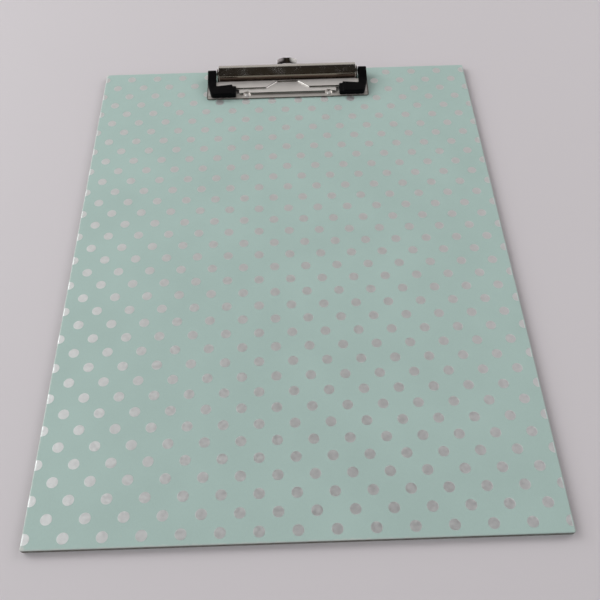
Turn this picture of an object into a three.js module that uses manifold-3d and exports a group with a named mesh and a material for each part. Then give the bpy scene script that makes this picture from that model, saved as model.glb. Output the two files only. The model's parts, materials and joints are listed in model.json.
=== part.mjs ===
// A clipboard: a paper-covered board with a low, sprung, sheet-metal clip.
// Millimetres. The origin is the middle of the board's back, +Z points out of the writing face,
// +Y points to the clip's end and +X to the reader's right.
// The clip is drawn in a frame of its own: its origin is on the board's face, at the middle of the
// edge behind the clip. A setback is a distance from that edge towards the reader (local -Y), and a
// height is a distance above the board's face (local +Z).

import * as THREE from 'three';
import { mergeVertices } from 'three/addons/utils/BufferGeometryUtils.js';
import Module from 'manifold-3d';

const library = await Module();
library.setup();

// ---------- driving dimensions ----------

// Board
const boardWidth = 230;
const boardLength = 304;
const boardCornerRadius = 3;
const coreThickness = 2.2;
const coverThickness = 0.25;
const linerThickness = 0.2;
const glueGap = 0.05;
const coverEdgeRadius = 0.4;
const hemWidth = 16;
const linerInset = 4;

// Sheet metal of the clip
const clipOffset = 1.4;
const sheetThickness = 0.8;
const clampThickness = 0.8;
const seatGap = 0.02;

// Base plate
const baseRear = 1;
const baseSideMargin = 0.7;
const baseFrontMargin = 1;
const baseCornerRadius = 1.5;
const deckCornerRadius = 1.2;
const deckFrontInset = 2.1;
const deckGripGap = 1.6;
const bendRadius = 0.45;

// Hinge
const hingeSetback = 8.1;
const pinRadius = 1.25;
const pinClearance = 0.05;
const pinHeadLip = 0.55;
const pinHeadHeight = 0.5;
const pinHeadDome = 0.3;
const pivotWall = 1.95;
const pivotFloorGap = 0.48;
const earFootHalf = 4.4;
const earReliefMargin = 0.5;
const runningGap = 0.45;

// Clamp plate
const barrelLength = 86;
const barrelRadius = 5;
const barrelRearAngle = 144;
const jawShoulderReach = 6.3;
const jawLength = 6.6;
const jawFilletRadius = 0.9;
const jawEdgeRadius = 0.35;
const jawCornerCut = 3.2;
const jawLipGap = 0.05;
const jawLipHeight = 0.1;
const jawLipWidth = 1;
const jawLap = 0.5;
const cheekSetIn = 2;
const cheekStep = 10;
const notchHalfFront = 13.3;
const notchHalfRear = 6.6;
const notchRoot = 0.8;
const notchCornerRadius = 1.4;
const jawCornerRadius = 1.2;

// Corner grips
const gripPadLength = 17.7;
const gripSleeveLength = 2.4;
const gripStepDrop = 0.5;
const gripStepInset = 1;
const gripFrontTaper = 2.4;
const gripTaperLength = 10.1;
const gripNose = 5.6;
const gripLap = 3.1;
const gripLapAtArm = 1.8;
const gripTopWall = 1.2;
const gripSideWall = 1.3;
const gripPinGap = 0.3;
const gripSeatGap = 0.18;
const gripArmWidth = 4.95;
const gripArmRadius = 2.2;
const gripEdgeRadius = 0.4;
const gripCornerRadius = 1.8;
const gripElbowRadius = 0.9;
const pocketClearance = 0.12;

// Torsion springs
const wireRadius = 0.5;
const coilClearance = 0.8;
const coilWholeTurns = 7;
const coilPitch = 1.12;
const springEndGap = 0.7;
const springLegGap = 0.3;
const seatedLegLength = 5.6;
const pressingLegOverhang = 1.8;

// Hanging tab
const tabThickness = 0.7;
const tabSlideGap = 0.3;
const tabHalfWidth = 6.35;
const tabTipHalfWidth = 2.2;
const tabTipBluntness = 1.6;
const tabTip = -8.6;
const tabTaperStart = -6;
const tabBendStart = -1.5;
const tabRise = 2.2;
const tabDish = 0.9;
const tabShoulderHalfWidth = 8.6;
const tabShoulderLength = 3.2;
const tabShoulderSlope = 0.01;
const tabTravel = 12;
const tabStopGap = 0.2;
const tabHoleRear = -4.8;
const tabHoleFront = 2.2;
const tabHoleHalfWidth = 3.9;
const tabHoleCorner = 2.4;
const tabWindowGap = 0.4;

// Rivets
const rivetDeckInset = 5.1;
const rivetDeckReach = 0.6;
const rivetHeadRadius = 1.75;
const rivetHeadHeight = 0.85;
const rivetShankRadius = 1.1;
const rivetBoreRadius = 0.6;
const rivetBoreDepth = 1.6;
const rivetClinchRadius = 2;
const rivetClinchHeight = 0.5;
const rivetHoleClearance = 0.06;
const rivetSeatRadius = 2.25;
const washerRadius = 4;
const washerThickness = 0.5;
const washerPocketClearance = 0.1;
const washerPocketDepth = 1.1;

// Fineness of round stretches
const arcSegments = 24;
const filletSegments = 6;
const cornerSegments = 4;
const edgeSegments = 3;
const holeSegments = 32;
const domeSegments = 6;
const wireSteps = 150;
const wireSides = 8;
const tabRows = 20;
const tabColumns = 12;

// How far a cutting tool runs past the face that it cuts
const overrun = 1;

// ---------- sizes that follow from them ----------

const hemBottom = linerThickness + glueGap;
const coreBottom = hemBottom + coverThickness + glueGap;
const coreTop = coreBottom + coreThickness;
const boardTop = coreTop + glueGap + coverThickness;

const flangeTop = seatGap + sheetThickness;
const deckUnderside = tabThickness + 2 * tabSlideGap;
const deckTop = deckUnderside + sheetThickness;
const pivotRadius = pinRadius + pivotWall;
const hingeHeight = flangeTop + pivotFloorGap + pivotRadius;

const barrelInner = barrelRadius - clampThickness;
const jawShoulder = hingeSetback + jawShoulderReach;
const jawFront = jawShoulder + jawLength;
const notchDepth = jawLength - notchRoot;
const jawUnderside = deckTop + jawLipGap + jawLipHeight;
const jawTop = jawUnderside + clampThickness;

const cheekOuter = barrelLength / 2;
const earInner = cheekOuter + runningGap;
const earOuter = earInner + sheetThickness;
const pinHeadOuter = earOuter + pinHeadHeight;
const pinHeadRadius = pinRadius + pinHeadLip;

const gripArmInner = pinHeadOuter + gripPinGap;
const gripOuter = gripArmInner + gripArmWidth;
const gripInnerEnd = gripOuter - gripPadLength;
const gripFront = jawFront + gripNose;
const gripRear = jawFront - gripLap;
const gripBottom = flangeTop + gripSeatGap;
const gripTop = jawTop + gripTopWall;
const jawHalfWidth = gripOuter - gripSideWall;
const baseHalfWidth = gripOuter + baseSideMargin;
const baseFront = gripFront + baseFrontMargin;
const deckHalfWidth = gripInnerEnd - deckGripGap;
const deckFront = gripFront - deckFrontInset;
const rivetX = deckHalfWidth - rivetDeckInset;
const rivetSetback = deckFront + rivetDeckReach;

const coilRadius = pinRadius + coilClearance + wireRadius;
const springOuterEnd = cheekOuter - clampThickness - springEndGap;
const tabTail = baseRear + sheetThickness + tabTravel + tabStopGap + tabShoulderLength;
const tabHalfWindow = tabHalfWidth + tabWindowGap;
const washerBottom = washerPocketDepth - washerThickness;

const degrees = Math.PI / 180;
const sides = [['left', -1], ['right', 1]];

// ---------- solids and profiles ----------

// A closed geometry as a solid that can be joined and cut.
function toSolid(geometry) {
  const bare = geometry.clone();
  bare.deleteAttribute('normal');
  bare.deleteAttribute('uv');
  const merged = mergeVertices(bare);
  return new library.Manifold(new library.Mesh({
    numProp: 3,
    vertProperties: merged.attributes.position.array,
    triVerts: new Uint32Array(merged.index.array),
  }));
}

function toGeometry(solid) {
  const mesh = solid.getMesh();
  const geometry = new THREE.BufferGeometry();
  geometry.setAttribute('position', new THREE.BufferAttribute(mesh.vertProperties, 3));
  geometry.setIndex(new THREE.BufferAttribute(mesh.triVerts, 1));
  return geometry;
}

function polygon(points) {
  return new THREE.Shape(points.map(([x, y]) => new THREE.Vector2(x, y)));
}

// A closed outline through corners given as [x, y, radius]: each corner with a radius is an arc tangent
// to both its sides.
function roundedPolygon(corners) {
  const points = corners.flatMap(([x, y, radius = 0], index) => {
    const [fromX, fromY] = corners.at(index - 1);
    const [toX, toY] = corners[(index + 1) % corners.length];
    const entry = Math.atan2(y - fromY, x - fromX);
    const turn = Math.atan2(toY - y, toX - x) - entry;
    const bend = Math.atan2(Math.sin(turn), Math.cos(turn));
    if (radius === 0 || bend === 0) {
      return [[x, y]];
    }
    const reach = radius * Math.sign(bend);
    const cut = reach * Math.tan(bend / 2);
    const centreX = x - cut * Math.cos(entry) - reach * Math.sin(entry);
    const centreY = y - cut * Math.sin(entry) + reach * Math.cos(entry);
    const first = entry / degrees - Math.sign(bend) * 90;
    return arcPoints(centreX, centreY, radius, first, first + bend / degrees, cornerSegments);
  });
  return polygon(points);
}

function roundedRectangle(left, right, near, far, radius) {
  const shape = new THREE.Shape();
  shape.absarc(right - radius, near + radius, radius, -Math.PI / 2, 0);
  shape.absarc(right - radius, far - radius, radius, 0, Math.PI / 2);
  shape.absarc(left + radius, far - radius, radius, Math.PI / 2, Math.PI);
  shape.absarc(left + radius, near + radius, radius, Math.PI, Math.PI * 1.5);
  shape.closePath();
  return shape;
}

// Points on a circle, by angle in degrees, from the first angle to the last.
function arcPoints(centreX, centreY, radius, first, last, count) {
  return Array.from({ length: count + 1 }, (_, index) => {
    const angle = (first + ((last - first) * index) / count) * degrees;
    return [centreX + radius * Math.cos(angle), centreY + radius * Math.sin(angle)];
  });
}

// Half section of a low dome, as [radius, height], from its rim to its top on the axis.
function domeProfile(rimRadius, rise, top) {
  const sphere = (rimRadius ** 2 + rise ** 2) / (2 * rise);
  const halfAngle = Math.asin(rimRadius / sphere) / degrees;
  return arcPoints(0, top - sphere, sphere, 90 - halfAngle, 90, domeSegments);
}

// The angle, in degrees, at which a line from an outside point touches a circle.
// turn is +1 for the touching point anticlockwise of the point's own bearing, -1 for the other.
function tangentAngle(centreX, centreY, radius, pointX, pointY, turn) {
  const distance = Math.hypot(pointX - centreX, pointY - centreY);
  const bearing = Math.atan2(pointY - centreY, pointX - centreX);
  return (bearing + turn * Math.acos(radius / distance)) / degrees;
}

// A plan outline (X, Y) raised from one height to another, with rounded edges where a radius is given.
function raise(shape, bottom, top, edgeRadius = 0) {
  const geometry = new THREE.ExtrudeGeometry(shape, {
    depth: top - bottom - 2 * edgeRadius,
    bevelEnabled: edgeRadius > 0,
    bevelThickness: edgeRadius,
    bevelSize: edgeRadius,
    bevelOffset: -edgeRadius,
    bevelSegments: edgeSegments,
    curveSegments: cornerSegments,
  });
  geometry.translate(0, 0, bottom + edgeRadius);
  return toSolid(geometry);
}

// A side profile (Y, Z) carried along X from left to right.
function carryAcross(shape, left, right) {
  const geometry = new THREE.ExtrudeGeometry(shape, {
    depth: right - left,
    bevelEnabled: false,
  });
  geometry.applyMatrix4(new THREE.Matrix4().makeBasis(
    new THREE.Vector3(0, 1, 0),
    new THREE.Vector3(0, 0, 1),
    new THREE.Vector3(1, 0, 0),
  ));
  geometry.translate(left, 0, 0);
  return toSolid(geometry);
}

function block(left, right, near, far, bottom, top) {
  const geometry = new THREE.BoxGeometry(right - left, far - near, top - bottom);
  geometry.translate((left + right) / 2, (near + far) / 2, (bottom + top) / 2);
  return toSolid(geometry);
}

function upright(radius, x, y, bottom, top) {
  const geometry = new THREE.CylinderGeometry(radius, radius, top - bottom, holeSegments);
  geometry.rotateX(Math.PI / 2);
  geometry.translate(x, y, (bottom + top) / 2);
  return toSolid(geometry);
}

// A round bar along X, centred on the hinge.
function hingeBar(radius, left, right) {
  const geometry = new THREE.CylinderGeometry(radius, radius, right - left, holeSegments);
  geometry.rotateZ(Math.PI / 2);
  geometry.translate((left + right) / 2, -hingeSetback, hingeHeight);
  return toSolid(geometry);
}

// A sheet of even thickness over a grid of points on its middle plane, which pointAt(row, column) gives.
function sheetOverGrid(rows, columns, thickness, pointAt) {
  const vertices = [];
  for (const offset of [thickness / 2, -thickness / 2]) {
    for (let row = 0; row <= rows; row += 1) {
      for (let column = 0; column <= columns; column += 1) {
        const [x, y, z] = pointAt(row, column);
        vertices.push(x, y, z + offset);
      }
    }
  }
  const upper = ([row, column]) => row * (columns + 1) + column;
  const lower = (place) => (rows + 1) * (columns + 1) + upper(place);
  const index = [];
  const quad = (a, b, c, d) => index.push(a, b, c, a, c, d);
  const outline = [];
  for (let row = 0; row < rows; row += 1) {
    for (let column = 0; column < columns; column += 1) {
      const cell = [[row, column], [row, column + 1], [row + 1, column + 1], [row + 1, column]];
      quad(...cell.map(upper));
      quad(...cell.map(lower).reverse());
    }
    outline[columns + row] = [row, columns];
    outline[2 * columns + 2 * rows - 1 - row] = [row + 1, 0];
  }
  for (let column = 0; column < columns; column += 1) {
    outline[column] = [0, column];
    outline[columns + rows + column] = [rows, columns - column];
  }
  outline.forEach((from, position) => {
    const to = outline[(position + 1) % outline.length];
    quad(lower(from), lower(to), upper(to), upper(from));
  });
  const geometry = new THREE.BufferGeometry();
  geometry.setAttribute('position', new THREE.Float32BufferAttribute(vertices, 3));
  geometry.setIndex(index);
  return toSolid(geometry);
}

// The hole for a rivet's shank.
function rivetDrill(x, y, bottom, top) {
  return upright(rivetShankRadius + rivetHoleClearance, x, y, bottom, top);
}

// The part between two distances from the middle, on the side given by its sign.
function span(side, inner, outer) {
  return side > 0 ? [inner, outer] : [-outer, -inner];
}

// ---------- board ----------

// The rivets' places in the board's frame.
function rivetPlaces() {
  return sides.map(([, side]) => [
    clipOffset + side * rivetX,
    boardLength / 2 - rivetSetback,
  ]);
}

function boardOutline(inset) {
  const halfWidth = boardWidth / 2 - inset;
  const halfLength = boardLength / 2 - inset;
  const radius = Math.max(boardCornerRadius - inset, coverThickness);
  return roundedRectangle(-halfWidth, halfWidth, -halfLength, halfLength, radius);
}

// Greyboard, drilled for the rivets and dented where their washers are pressed in.
function makeBoardCore() {
  let core = raise(boardOutline(coverThickness + glueGap), coreBottom, coreTop);
  for (const [x, y] of rivetPlaces()) {
    core = core
      .subtract(rivetDrill(x, y, 0, boardTop))
      .subtract(upright(washerRadius + washerPocketClearance, x, y, 0, washerPocketDepth));
  }
  return core;
}

// Paper over the front and round the edges, with its hems turned in on the back.
function makeCoverPaper() {
  let cover = raise(boardOutline(0), hemBottom, boardTop, coverEdgeRadius)
    .subtract(raise(boardOutline(coverThickness), coreBottom - glueGap, coreTop + glueGap))
    .subtract(raise(boardOutline(hemWidth), 0, coreBottom));
  for (const [x, y] of rivetPlaces()) {
    cover = cover.subtract(rivetDrill(x, y, coreBottom, boardTop + overrun));
  }
  return cover;
}

// Sheet pasted over the hems, cut out round the washers.
function makeBackLiner() {
  let liner = raise(boardOutline(linerInset), 0, linerThickness);
  for (const [x, y] of rivetPlaces()) {
    liner = liner.subtract(upright(washerRadius + washerPocketClearance, x, y, -overrun, boardTop));
  }
  return liner;
}

// ---------- base plate ----------

// The raised deck, or the space under it where it is inset: cut back round each rivet's seat, so that
// the seats are open in front.
function makeDeck({ inset, bottom, top, edgeRadius }) {
  const halfWidth = deckHalfWidth - inset;
  const cornerRadius = Math.max(deckCornerRadius - inset, sheetThickness / 4);
  const outline = roundedRectangle(
    -halfWidth, halfWidth, -(deckFront - inset), -(baseRear + inset), cornerRadius,
  );
  let deck = raise(outline, bottom, top, edgeRadius);
  for (const [, side] of sides) {
    const radius = rivetSeatRadius + inset;
    deck = deck.subtract(
      upright(radius, side * rivetX, -rivetSetback, bottom - overrun, top + overrun),
    );
  }
  return deck;
}

// One folded-up ear: round at the top about the hinge, with straight flanks down to its foot.
function makeEar(side) {
  const rearFoot = [-(hingeSetback - earFootHalf), seatGap + sheetThickness / 2];
  const frontFoot = [-(hingeSetback + earFootHalf), seatGap + sheetThickness / 2];
  const rear = tangentAngle(-hingeSetback, hingeHeight, pivotRadius, ...rearFoot, 1);
  const front = tangentAngle(-hingeSetback, hingeHeight, pivotRadius, ...frontFoot, -1);
  const profile = polygon([
    frontFoot,
    rearFoot,
    ...arcPoints(-hingeSetback, hingeHeight, pivotRadius, rear, front + 360, arcSegments),
  ]);
  return carryAcross(profile, ...span(side, earInner, earOuter));
}

// Beside and behind each ear the plate is cut back to the ear's outer face.
function earRelief(side) {
  const [left, right] = span(side, earOuter, baseHalfWidth + overrun);
  return block(left, right, -(hingeSetback + earFootHalf + earReliefMargin), 0, -overrun, deckTop);
}

function makeBasePlate() {
  const outline = roundedRectangle(
    -baseHalfWidth, baseHalfWidth, -baseFront, -baseRear, baseCornerRadius,
  );
  const belowPlate = block(-baseHalfWidth, baseHalfWidth, -baseFront, 0, -2 * deckTop, seatGap);
  const deck = makeDeck({ inset: 0, bottom: -deckTop, top: deckTop, edgeRadius: bendRadius })
    .subtract(belowPlate);
  const underDeck = makeDeck({
    inset: sheetThickness, bottom: -deckTop, top: deckUnderside, edgeRadius: 0,
  });
  const wallBack = -(baseRear + 2 * sheetThickness);
  const tabWindow = block(-tabHalfWindow, tabHalfWindow, wallBack, 0, -overrun, deckUnderside);
  let plate = raise(outline, seatGap, flangeTop)
    .add(deck)
    .subtract(underDeck)
    .subtract(tabWindow);
  for (const [, side] of sides) {
    plate = plate
      .subtract(earRelief(side))
      .add(makeEar(side))
      .subtract(rivetDrill(side * rivetX, -rivetSetback, -overrun, deckTop));
  }
  return plate.subtract(hingeBar(pinRadius + pinClearance, -earOuter - overrun, earOuter + overrun));
}

// ---------- clamp plate ----------

// Side profile of the rolled barrel and the root of the jaw, as one bent sheet.
function barrelProfile() {
  const filletY = jawTop + jawFilletRadius;
  const filletReach = Math.sqrt(
    (barrelRadius + jawFilletRadius) ** 2 - (filletY - hingeHeight) ** 2,
  );
  const filletX = -(hingeSetback + filletReach);
  const filletDrop = hingeHeight - filletY;
  const footAngle = 180 + Math.asin(filletDrop / (barrelRadius + jawFilletRadius)) / degrees;
  const innerFoot = 180 + Math.asin((hingeHeight - jawUnderside) / barrelInner) / degrees;
  const rearAngle = 180 - barrelRearAngle;
  return polygon([
    ...arcPoints(-hingeSetback, hingeHeight, barrelRadius, rearAngle, footAngle, 2 * arcSegments),
    ...arcPoints(filletX, filletY, jawFilletRadius, footAngle - 180, -90, filletSegments).slice(1),
    [-(jawShoulder + jawLap), jawTop],
    [-(jawShoulder + jawLap), jawUnderside],
    ...arcPoints(-hingeSetback, hingeHeight, barrelInner, innerFoot, rearAngle, 2 * arcSegments),
  ]);
}

// Plan outline of the jaw: the finger notch in front, and the outer corners cut off.
function jawOutline({ inset = 0, halfWidth, rear, cornerCut = 0 }) {
  const front = -(jawFront - inset);
  const side = halfWidth - inset;
  const run = Math.hypot(notchHalfFront - notchHalfRear, notchDepth);
  const shift = (inset * (run - (notchHalfFront - notchHalfRear))) / notchDepth;
  const corner = cornerCut > 0
    ? [[side - cornerCut, front, jawCornerRadius], [side, front + 1.5 * cornerCut]]
    : [[side, front]];
  const right = [
    [notchHalfRear + shift, front + notchDepth, notchCornerRadius + inset],
    [notchHalfFront + shift, front, notchCornerRadius - inset],
    ...corner,
    [side, -rear],
  ];
  const left = right.map(([x, y, radius]) => [-x, y, radius]).reverse();
  return roundedPolygon([...left, ...right]);
}

// Plate that closes the end of the barrel and carries the clamp plate on the pin: it fills the roof
// above the hinge and is round below it.
function makeCheek(side) {
  const roof = barrelRadius - clampThickness / 2;
  const rearAngle = 180 - barrelRearAngle + cheekSetIn;
  const footAngle = 180 + Math.asin((hingeHeight - jawTop) / roof) / degrees;
  const profile = polygon([
    ...arcPoints(-hingeSetback, hingeHeight, roof, rearAngle, footAngle, arcSegments),
    ...arcPoints(-hingeSetback, hingeHeight, pivotRadius, footAngle + cheekStep, 360, arcSegments),
  ]);
  return carryAcross(profile, ...span(side, cheekOuter - clampThickness, cheekOuter));
}

function makeClampPlate() {
  const lipHalfWidth = gripInnerEnd - jawLipWidth;
  const jaw = jawOutline({ halfWidth: jawHalfWidth, rear: jawShoulder, cornerCut: jawCornerCut });
  const lip = jawOutline({ halfWidth: lipHalfWidth, rear: jawShoulder });
  const insideLip = jawOutline({ inset: jawLipWidth, halfWidth: jawHalfWidth, rear: hingeSetback });
  const foldedLip = raise(lip, deckTop + jawLipGap, jawTop - jawEdgeRadius)
    .subtract(raise(insideLip, 0, jawTop));
  let plate = carryAcross(barrelProfile(), -cheekOuter, cheekOuter)
    .add(raise(jaw, jawUnderside, jawTop, jawEdgeRadius))
    .add(foldedLip);
  for (const [, side] of sides) {
    plate = plate.add(makeCheek(side));
  }
  return plate.subtract(hingeBar(pinRadius + pinClearance, -cheekOuter - overrun, cheekOuter + overrun));
}

// ---------- corner grips ----------

// Plan outline of the pad under the jaw's corner, drawn for the right-hand side.
function gripOutline() {
  const padEnd = gripInnerEnd + gripSleeveLength;
  return roundedPolygon([
    [padEnd, -gripFront],
    [gripOuter - gripFrontTaper, -gripFront, gripCornerRadius],
    [gripOuter, -(gripFront - gripTaperLength)],
    [gripArmInner, -(gripFront - gripTaperLength)],
    [gripArmInner, -(jawFront - gripLapAtArm), gripElbowRadius],
    [padEnd, -gripRear],
  ]);
}

// The arm runs back beside the ear and ends round, about the hinge.
function gripArmProfile() {
  const top = [-gripRear, gripTop];
  const bottom = [-gripRear, gripBottom];
  const upper = tangentAngle(-hingeSetback, hingeHeight, gripArmRadius, ...top, -1);
  const lower = tangentAngle(-hingeSetback, hingeHeight, gripArmRadius, ...bottom, 1);
  return polygon([
    top,
    bottom,
    ...arcPoints(-hingeSetback, hingeHeight, gripArmRadius, lower, upper + 360, arcSegments),
  ]);
}

function makeRightGrip() {
  const sleeveOutline = polygon([
    [gripInnerEnd, -gripFront],
    [gripInnerEnd + gripSleeveLength + gripEdgeRadius * 2, -gripFront],
    [gripInnerEnd + gripSleeveLength + gripEdgeRadius * 2, -(gripRear + gripStepInset)],
    [gripInnerEnd, -(gripRear + gripStepInset)],
  ]);
  const sleeve = raise(sleeveOutline, gripBottom, gripTop - gripStepDrop, gripEdgeRadius);
  const jaw = jawOutline({
    inset: -pocketClearance,
    halfWidth: jawHalfWidth,
    rear: jawShoulder - pocketClearance,
    cornerCut: jawCornerCut,
  });
  const pocket = raise(jaw, jawUnderside - pocketClearance, jawTop + pocketClearance);
  return raise(gripOutline(), gripBottom, gripTop, gripEdgeRadius)
    .add(carryAcross(gripArmProfile(), gripArmInner, gripOuter))
    .add(sleeve)
    .subtract(pocket);
}

function makeGrip(side) {
  const grip = makeRightGrip();
  return side > 0 ? grip : grip.mirror([1, 0, 0]);
}

// ---------- hinge pin and springs ----------

// Straight pin with a low domed head at each end, turned about X.
function makeHingePin() {
  const right = [
    ...domeProfile(pinHeadRadius, pinHeadDome, pinHeadOuter).reverse(),
    [pinHeadRadius, earOuter + pinClearance],
    [pinRadius, earOuter + pinClearance],
  ];
  const left = right.map(([radius, x]) => [radius, -x]).reverse();
  const profile = [...right, ...left].map(([radius, x]) => new THREE.Vector2(radius, x)).reverse();
  const geometry = new THREE.LatheGeometry(profile, holeSegments);
  geometry.rotateZ(-Math.PI / 2);
  return geometry;
}

// Angles and lengths of a torsion spring's wire, about the hinge. Its seated leg slopes down to lie just
// above the base plate, and its pressing leg passes just under the rear edge of the barrel.
function springLegs() {
  const drop = hingeHeight - coilRadius - wireRadius - flangeTop - springLegGap;
  const lift = Math.acos((coilRadius + wireRadius + springLegGap) / barrelInner);
  const startAngle = -90 + Math.asin(drop / seatedLegLength) / degrees;
  const endAngle = barrelRearAngle - lift / degrees;
  const sweep = 360 * coilWholeTurns + endAngle - startAngle;
  const coilLength = sweep * degrees * coilRadius;
  const pressingLength = barrelInner * Math.sin(lift) + pressingLegOverhang;
  return { startAngle, sweep, coilLength, pressingLength };
}

// Centre line of a torsion spring round the hinge, about local X, for the right-hand end of the pin:
// a leg that rests on the base plate, the coils, and a leg that lifts the rear edge of the barrel.
class TorsionWire extends THREE.Curve {
  getPoint(t, target = new THREE.Vector3()) {
    const { startAngle, sweep, coilLength, pressingLength } = springLegs();
    const along = t * (seatedLegLength + coilLength + pressingLength);
    const turned = Math.min(Math.max(along - seatedLegLength, 0), coilLength);
    const angle = (startAngle + turned / coilRadius / degrees) * degrees;
    const seated = Math.max(seatedLegLength - along, 0);
    const pressing = Math.max(along - seatedLegLength - coilLength, 0);
    const drift = seated - pressing;
    return target.set(
      springOuterEnd - wireRadius - (turned / coilLength) * (sweep / 360) * coilPitch,
      -coilRadius * Math.cos(angle) - drift * Math.sin(angle),
      coilRadius * Math.sin(angle) - drift * Math.cos(angle),
    );
  }
}

function makeSpring(side) {
  const circle = new THREE.Shape();
  circle.absarc(0, 0, wireRadius, 0, 2 * Math.PI);
  const geometry = new THREE.ExtrudeGeometry(circle, {
    steps: wireSteps,
    curveSegments: wireSides / 2,
    extrudePath: new TorsionWire(),
    bevelEnabled: false,
  });
  const spring = toSolid(geometry);
  return side > 0 ? spring : spring.mirror([1, 0, 0]);
}

// ---------- hanging tab ----------

function tabHalfWidthAt(setback) {
  if (setback > tabTail - tabShoulderLength) {
    return tabShoulderHalfWidth;
  }
  const share = Math.min(Math.max((tabTaperStart - setback) / (tabTaperStart - tabTip), 0), 1);
  return tabHalfWidth + (tabTipHalfWidth - tabHalfWidth) * share ** tabTipBluntness;
}

// Height of the tab's middle plane: flat in its slide, curving up and dished towards its tip.
function tabHeightAt(setback, across) {
  const share = Math.min(Math.max((tabBendStart - setback) / (tabBendStart - tabTip), 0), 1);
  const curve = tabRise * share ** 2;
  const dish = tabDish * share * (across / tabHalfWidth) ** 2;
  return tabSlideGap + tabThickness / 2 + curve + dish;
}

// Setbacks of the tab's rows of points, from its tail to its tip.
function tabSetbacks() {
  const shoulder = tabTail - tabShoulderLength;
  const setbacks = [tabTail, shoulder + tabShoulderSlope, shoulder, baseRear];
  for (let row = 0; row <= tabRows; row += 1) {
    setbacks.push(tabBendStart + ((tabTip - tabBendStart) * row) / tabRows);
  }
  return setbacks;
}

function makeTabBlank() {
  const setbacks = tabSetbacks();
  return sheetOverGrid(setbacks.length - 1, tabColumns, tabThickness, (row, column) => {
    const setback = setbacks[row];
    const across = tabHalfWidthAt(setback) * ((2 * column) / tabColumns - 1);
    return [across, -setback, tabHeightAt(setback, across)];
  });
}

function makeHangingTab() {
  const hole = roundedRectangle(
    -tabHoleHalfWidth, tabHoleHalfWidth, -tabHoleFront, -tabHoleRear, tabHoleCorner,
  );
  return makeTabBlank().subtract(raise(hole, -overrun, tabRise + tabThickness + overrun));
}

// ---------- rivets ----------

function turned(points) {
  const profile = points.map(([x, y]) => new THREE.Vector2(x, y));
  const geometry = new THREE.LatheGeometry(profile, holeSegments);
  geometry.rotateX(Math.PI / 2);
  return geometry;
}

// Semi-tubular rivet, in the board's frame of heights: low dome on the base plate, tail rolled over
// the washer in the back.
function makeRivet() {
  const headBottom = boardTop + flangeTop + seatGap;
  const clinchTop = washerBottom - seatGap;
  const clinchBottom = clinchTop - rivetClinchHeight;
  const roll = rivetClinchHeight / 2;
  return turned([
    [0, clinchBottom + rivetBoreDepth],
    [rivetBoreRadius, clinchBottom + rivetBoreDepth],
    [rivetBoreRadius, clinchBottom + roll],
    [rivetBoreRadius + roll, clinchBottom],
    ...arcPoints(rivetClinchRadius - roll, clinchBottom + roll, roll, -90, 90, domeSegments),
    [rivetShankRadius, clinchTop],
    [rivetShankRadius, headBottom],
    ...domeProfile(rivetHeadRadius, rivetHeadHeight, headBottom + rivetHeadHeight),
  ]);
}

function makeWasher() {
  const inner = rivetShankRadius + rivetHoleClearance;
  return turned([
    [inner, washerBottom],
    [washerRadius, washerBottom],
    [washerRadius, washerBottom + washerThickness],
    [inner, washerBottom + washerThickness],
    [inner, washerBottom],
  ]);
}

// ---------- finishes ----------

const mintPaper = new THREE.MeshStandardMaterial({ color: 0xa3b3ab, roughness: 0.6, metalness: 0 });
const greyboard = new THREE.MeshStandardMaterial({ color: 0x9b9184, roughness: 0.95, metalness: 0 });
const whitePaper = new THREE.MeshStandardMaterial({ color: 0xe6e3dc, roughness: 0.85, metalness: 0 });
const nickelPlate = new THREE.MeshStandardMaterial({ color: 0xc9c5bd, roughness: 0.12, metalness: 1 });
const springSteel = new THREE.MeshStandardMaterial({ color: 0x8d8b88, roughness: 0.3, metalness: 1 });
const blackPlastic = new THREE.MeshStandardMaterial({ color: 0x0a0a0b, roughness: 0.5, metalness: 0 });

// ---------- assembly ----------

function place(parent, name, shape, material) {
  const geometry = shape.isBufferGeometry ? shape : toGeometry(shape);
  const mesh = new THREE.Mesh(geometry, material);
  mesh.name = name;
  parent.add(mesh);
  return mesh;
}

const clipboard = new THREE.Group();
place(clipboard, 'board_core', makeBoardCore(), greyboard);
place(clipboard, 'cover_paper', makeCoverPaper(), mintPaper);
place(clipboard, 'back_liner', makeBackLiner(), whitePaper);

rivetPlaces().forEach(([x, y], index) => {
  const [sideName] = sides[index];
  place(clipboard, `rivet_${sideName}`, makeRivet(), nickelPlate).position.set(x, y, 0);
  place(clipboard, `rivet_washer_${sideName}`, makeWasher(), nickelPlate).position.set(x, y, 0);
});

const clip = new THREE.Group();
clip.position.set(clipOffset, boardLength / 2, boardTop);
clipboard.add(clip);
place(clip, 'base_plate', makeBasePlate(), nickelPlate);
place(clip, 'clamp_plate', makeClampPlate(), nickelPlate);
place(clip, 'hanging_tab', makeHangingTab(), nickelPlate);

const hinge = new THREE.Group();
hinge.position.set(0, -hingeSetback, hingeHeight);
clip.add(hinge);
place(hinge, 'hinge_pin', makeHingePin(), springSteel);

for (const [sideName, side] of sides) {
  place(clip, `corner_grip_${sideName}`, makeGrip(side), blackPlastic);
  place(hinge, `torsion_spring_${sideName}`, makeSpring(side), springSteel);
}

export default clipboard;
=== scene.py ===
"""A paper-covered clipboard with a low sprung clip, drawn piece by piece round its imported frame."""

import json
import math

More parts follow.
